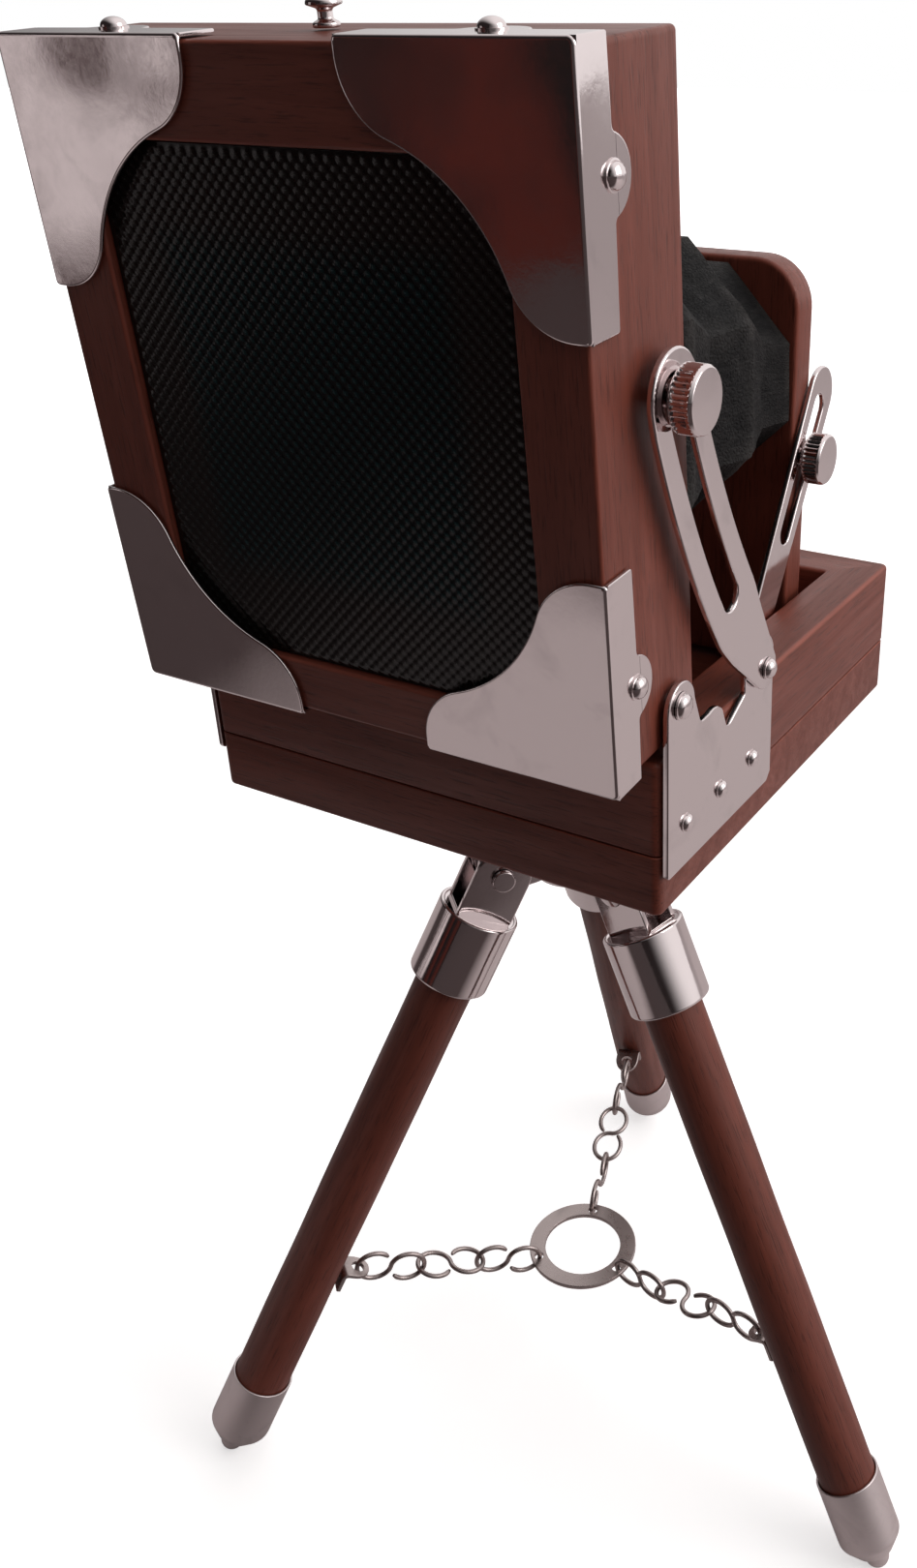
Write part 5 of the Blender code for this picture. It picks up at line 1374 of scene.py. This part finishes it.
def pale_floor(g):
    """White paper under a lamp of its own, so that it looks white and yet throws little light up.
    Its bounce colour holds a painted pool of light, and fades to painted shade towards the unlit side of the
    room."""
    place = g.add("TexCoord").outputs["Object"]
    axes = g.add("SeparateXYZ", {"Vector": place}).outputs
    # painted pool of light in the bounce colour: on the lens's side of the object, and in a strip that runs
    # back on its left
    beside = g.math("MULTIPLY", g.ramp(axes["X"], 0.03, 0.10), g.ramp(axes["X"], 0.22, 0.32, 1.0, 0.0))
    beside = g.math("MULTIPLY", beside, g.ramp(axes["Y"], 0.40, 0.52, 1.0, 0.0))
    painted_light_pool = g.math("MAXIMUM", beside, g.ramp(axes["Y"], 0.02, 0.14, 1.0, 0.0))
    far = g.add("VectorMath", {0: place}, operation="LENGTH").outputs["Value"]
    painted_bounce_colour = g.mix(painted_light_pool, (0.07, 0.05, 0.05, 1), (0.62, 0.56, 0.56, 1))
    seen = g.add("LightPath").outputs["Is Camera Ray"]
    tint = g.mix(seen, painted_bounce_colour, (0.9, 0.9, 0.9, 1))
    glow = g.math("MULTIPLY", seen, g.ramp(far, 0.2, 1.6, 0.5, 1.0))
    return g.shade(Base_Color=tint, Roughness=0.9, Emission_Color=WHITE, Emission_Strength=glow)


def dim_room_side(g):
    """The unlit side of a room: dark, with a few warm brown shapes."""
    place = g.add("TexCoord").outputs["Object"]
    shapes = g.noise(g.stretched(place, (6.0, 6.0, 2.5), (0.9, 0.4, 0.0)), 1.0, 3.0, 0.5, 1.5)
    tint = g.mix(g.ramp(shapes, 0.46, 0.60), (0.004, 0.001, 0.001, 1), (0.095, 0.011, 0.005, 1))
    return g.shade(Base_Color=tint, Roughness=0.9)


def pale_room_side(g):
    """A pale wall with soft dark folds, like a curtain."""
    place = g.add("TexCoord").outputs["Object"]
    folds = g.noise(g.stretched(place, (7.0, 7.0, 4.0)), 1.0, 3.0, 0.5, 2.0)
    tint = g.mix(g.ramp(folds, 0.44, 0.60), (0.75, 0.70, 0.70, 1), (0.05, 0.025, 0.025, 1))
    return g.shade(Base_Color=tint, Roughness=0.9, Emission_Color=tint, Emission_Strength=0.25)


def room_light(studio):
    """A pale room: white to look at, and lit from the lens's side, the right and above, with its
    rear half in shade."""
    world = bpy.data.worlds.new("room")
    bpy.context.scene.world = world
    world.use_nodes = True
    tree = world.node_tree
    tree.nodes.clear()

    def add(kind, **settings):
        """Adds a node to the world."""
        node = tree.nodes.new("ShaderNode" + kind)
        for key, value in settings.items():
            setattr(node, key, value)
        return node

    place, dot = add("TexCoord"), add("VectorMath", operation="DOT_PRODUCT")
    tree.links.new(place.outputs["Generated"], dot.inputs[0])
    dot.inputs[1].default_value = SKY_FROM
    ramp = add("MapRange", interpolation_type="SMOOTHSTEP")
    tree.links.new(dot.outputs["Value"], ramp.inputs["Value"])
    ramp.inputs["From Min"].default_value = -0.22
    ramp.inputs["From Max"].default_value = 0.75
    shade = add("Mix", data_type="RGBA")
    tree.links.new(ramp.outputs["Result"], shade.inputs[0])
    shade.inputs[6].default_value = ROOM_SHADE
    shade.inputs[7].default_value = (studio.sky, studio.sky * 0.96, studio.sky * 0.955, 1)
    seen, light = add("Background"), add("Background")
    tree.links.new(shade.outputs[2], light.inputs["Color"])
    seen.inputs["Color"].default_value = WHITE
    path, mixed, out = add("LightPath"), add("MixShader"), add("OutputWorld")
    tree.links.new(path.outputs["Is Camera Ray"], mixed.inputs["Fac"])
    tree.links.new(light.outputs[0], mixed.inputs[1])
    tree.links.new(seen.outputs[0], mixed.inputs[2])
    tree.links.new(mixed.outputs[0], out.inputs["Surface"])


def build_stage(camera):
    """The floor, the room, two lamps, and the camera that looks at the object."""
    studio = camera.studio
    room_light(studio)
    w, low = FLOOR_HALF, -FLOOR_DROP
    add_board("floor", [(-w, -w, low), (w, -w, low), (w, w, low), (-w, w, low)], pale_floor)
    add_screen("dim_room_side", (0.18, 0.97), (0.68, 0.76), 0.5, dim_room_side)
    add_screen("pale_room_side", (0.72, 0.74), (1.02, 0.46), 0.6, pale_room_side)
    add_light("key_light", (-0.85, -0.2, 0.7), 0.7, studio.key, (1.0, 0.97, 0.95))
    add_light("fill_light", (-0.5, 0.8, 0.5), 0.5, studio.fill, (1.0, 0.97, 0.96))
    data = bpy.data.cameras.new("view")
    data.lens = 32.1
    data.sensor_width = 36.0
    data.shift_x = -0.122
    data.shift_y = -0.045
    data.clip_start = 0.01
    data.clip_end = 20.0
    eye = bpy.data.objects.new("view", data)
    eye.location = EYE_AT
    eye.rotation_euler = np.radians(EYE_TURN)
    bpy.context.scene.collection.objects.link(eye)
    bpy.context.scene.camera = eye
    bpy.context.scene.view_settings.view_transform = "Standard"


# ---------------------------------------------------------------- operators and panel

def run(builder, context):
    """Calls a builder with the scene's settings."""
    builder(context.scene.view_camera)
    return {"FINISHED"}


class VIEW_CAMERA_OT_stage(bpy.types.Operator):
    """Add the floor, the room's light and the camera that looks at the object"""
    bl_idname = "view_camera.stage"
    bl_label = "Stage"

    def execute(self, context):
        return run(build_stage, context)


class VIEW_CAMERA_OT_tray(bpy.types.Operator):
    """Add the wooden tray: its floor board and its four walls"""
    bl_idname = "view_camera.tray"
    bl_label = "Tray"

    def execute(self, context):
        return run(build_tray, context)


class VIEW_CAMERA_OT_side_plates(bpy.types.Operator):
    """Add the hinge plates on both sides of the tray, with their screws, pins and rivets"""
    bl_idname = "view_camera.side_plates"
    bl_label = "Hinge plates"

    def execute(self, context):
        return run(build_side_plates, context)


class VIEW_CAMERA_OT_rear_struts(bpy.types.Operator):
    """Add the two bowed, slotted arms that hold the rear frame"""
    bl_idname = "view_camera.rear_struts"
    bl_label = "Rear arms"

    def execute(self, context):
        return run(build_rear_struts, context)


class VIEW_CAMERA_OT_knobs(bpy.types.Operator):
    """Add the four knurled clamp knobs"""
    bl_idname = "view_camera.knobs"
    bl_label = "Clamp knobs"

    def execute(self, context):
        return run(build_knobs, context)


class VIEW_CAMERA_OT_rear_frame(bpy.types.Operator):
    """Add the rear frame with its light shield and top stud"""
    bl_idname = "view_camera.rear_frame"
    bl_label = "Rear frame"

    def execute(self, context):
        return run(build_rear_frame, context)


class VIEW_CAMERA_OT_glass(bpy.types.Operator):
    """Add the pressed glass pane"""
    bl_idname = "view_camera.glass"
    bl_label = "Glass"

    def execute(self, context):
        return run(build_glass, context)


class VIEW_CAMERA_OT_corners(bpy.types.Operator):
    """Add the four sheet-metal corners with their nails"""
    bl_idname = "view_camera.corners"
    bl_label = "Metal corners"

    def execute(self, context):
        return run(build_corners, context)


class VIEW_CAMERA_OT_standard(bpy.types.Operator):
    """Add the lens board and its hinge rod"""
    bl_idname = "view_camera.standard"
    bl_label = "Lens board"

    def execute(self, context):
        return run(build_standard, context)


class VIEW_CAMERA_OT_front_struts(bpy.types.Operator):
    """Add the slotted arms that hold the lens board, with their rivets"""
    bl_idname = "view_camera.front_struts"
    bl_label = "Front arms"

    def execute(self, context):
        return run(build_front_struts, context)


class VIEW_CAMERA_OT_lens(bpy.types.Operator):
    """Add the lens: flange, tube, focus ring, baffle and glass"""
    bl_idname = "view_camera.lens"
    bl_label = "Lens"

    def execute(self, context):
        return run(build_lens, context)


class VIEW_CAMERA_OT_bellows(bpy.types.Operator):
    """Add the leather bellows in two halves"""
    bl_idname = "view_camera.bellows"
    bl_label = "Bellows"

    def execute(self, context):
        return run(build_bellows, context)


class VIEW_CAMERA_OT_hub(bpy.types.Operator):
    """Add the hub that joins the legs to the tray"""
    bl_idname = "view_camera.hub"
    bl_label = "Tripod hub"

    def execute(self, context):
        return run(build_hub, context)


class VIEW_CAMERA_OT_legs(bpy.types.Operator):
    """Add the three legs: stick, cup, bolt and foot ferrule"""
    bl_idname = "view_camera.legs"
    bl_label = "Legs"

    def execute(self, context):
        return run(build_legs, context)


class VIEW_CAMERA_OT_tabs(bpy.types.Operator):
    """Add the bent eyes on the legs that the chains hook into"""
    bl_idname = "view_camera.tabs"
    bl_label = "Chain eyes"

    def execute(self, context):
        return run(build_tabs, context)


class VIEW_CAMERA_OT_chains(bpy.types.Operator):
    """Add the chains of open figure-of-eight links"""
    bl_idname = "view_camera.chains"
    bl_label = "Chains"

    def execute(self, context):
        return run(build_chains, context)


class VIEW_CAMERA_OT_ring(bpy.types.Operator):
    """Add the flat ring that joins the chains"""
    bl_idname = "view_camera.ring"
    bl_label = "Spreader ring"

    def execute(self, context):
        return run(build_ring, context)


OPERATORS = (
    VIEW_CAMERA_OT_stage, VIEW_CAMERA_OT_tray, VIEW_CAMERA_OT_side_plates, VIEW_CAMERA_OT_rear_struts,
    VIEW_CAMERA_OT_knobs, VIEW_CAMERA_OT_rear_frame, VIEW_CAMERA_OT_glass, VIEW_CAMERA_OT_corners,
    VIEW_CAMERA_OT_standard, VIEW_CAMERA_OT_front_struts, VIEW_CAMERA_OT_lens, VIEW_CAMERA_OT_bellows,
    VIEW_CAMERA_OT_hub, VIEW_CAMERA_OT_legs, VIEW_CAMERA_OT_tabs, VIEW_CAMERA_OT_chains,
    VIEW_CAMERA_OT_ring)


class VIEW_CAMERA_PT_panel(bpy.types.Panel):
    """Sizes, finishes and building steps of the view camera"""
    bl_label = "View Camera"
    bl_idname = "VIEW_CAMERA_PT_panel"
    bl_space_type = "VIEW_3D"
    bl_region_type = "UI"
    bl_category = "View Camera"

    def draw(self, context):
        camera = context.scene.view_camera
        for group in (camera.wood, camera.metal, camera.leather, camera.glass, camera.shapes, camera.studio):
            box = self.layout.box()
            for name in group.__annotations__:
                box.prop(group, name)
        for operator in OPERATORS:
            self.layout.operator(operator.bl_idname)


CLASSES = (WoodFinish, MetalFinish, LeatherFinish, GlassFinish, Shapes, StudioSettings, ViewCameraSettings,
           *OPERATORS, VIEW_CAMERA_PT_panel)


def register():
    for cls in CLASSES:
        bpy.utils.register_class(cls)
    bpy.types.Scene.view_camera = PointerProperty(type=ViewCameraSettings)


def unregister():
    del bpy.types.Scene.view_camera
    for cls in reversed(CLASSES):
        bpy.utils.unregister_class(cls)


def main():
    register()
    for operator in OPERATORS:
        step = operator.bl_idname.split(".")[1]
        getattr(bpy.ops.view_camera, step)()


if __name__ == "__main__":
    main()
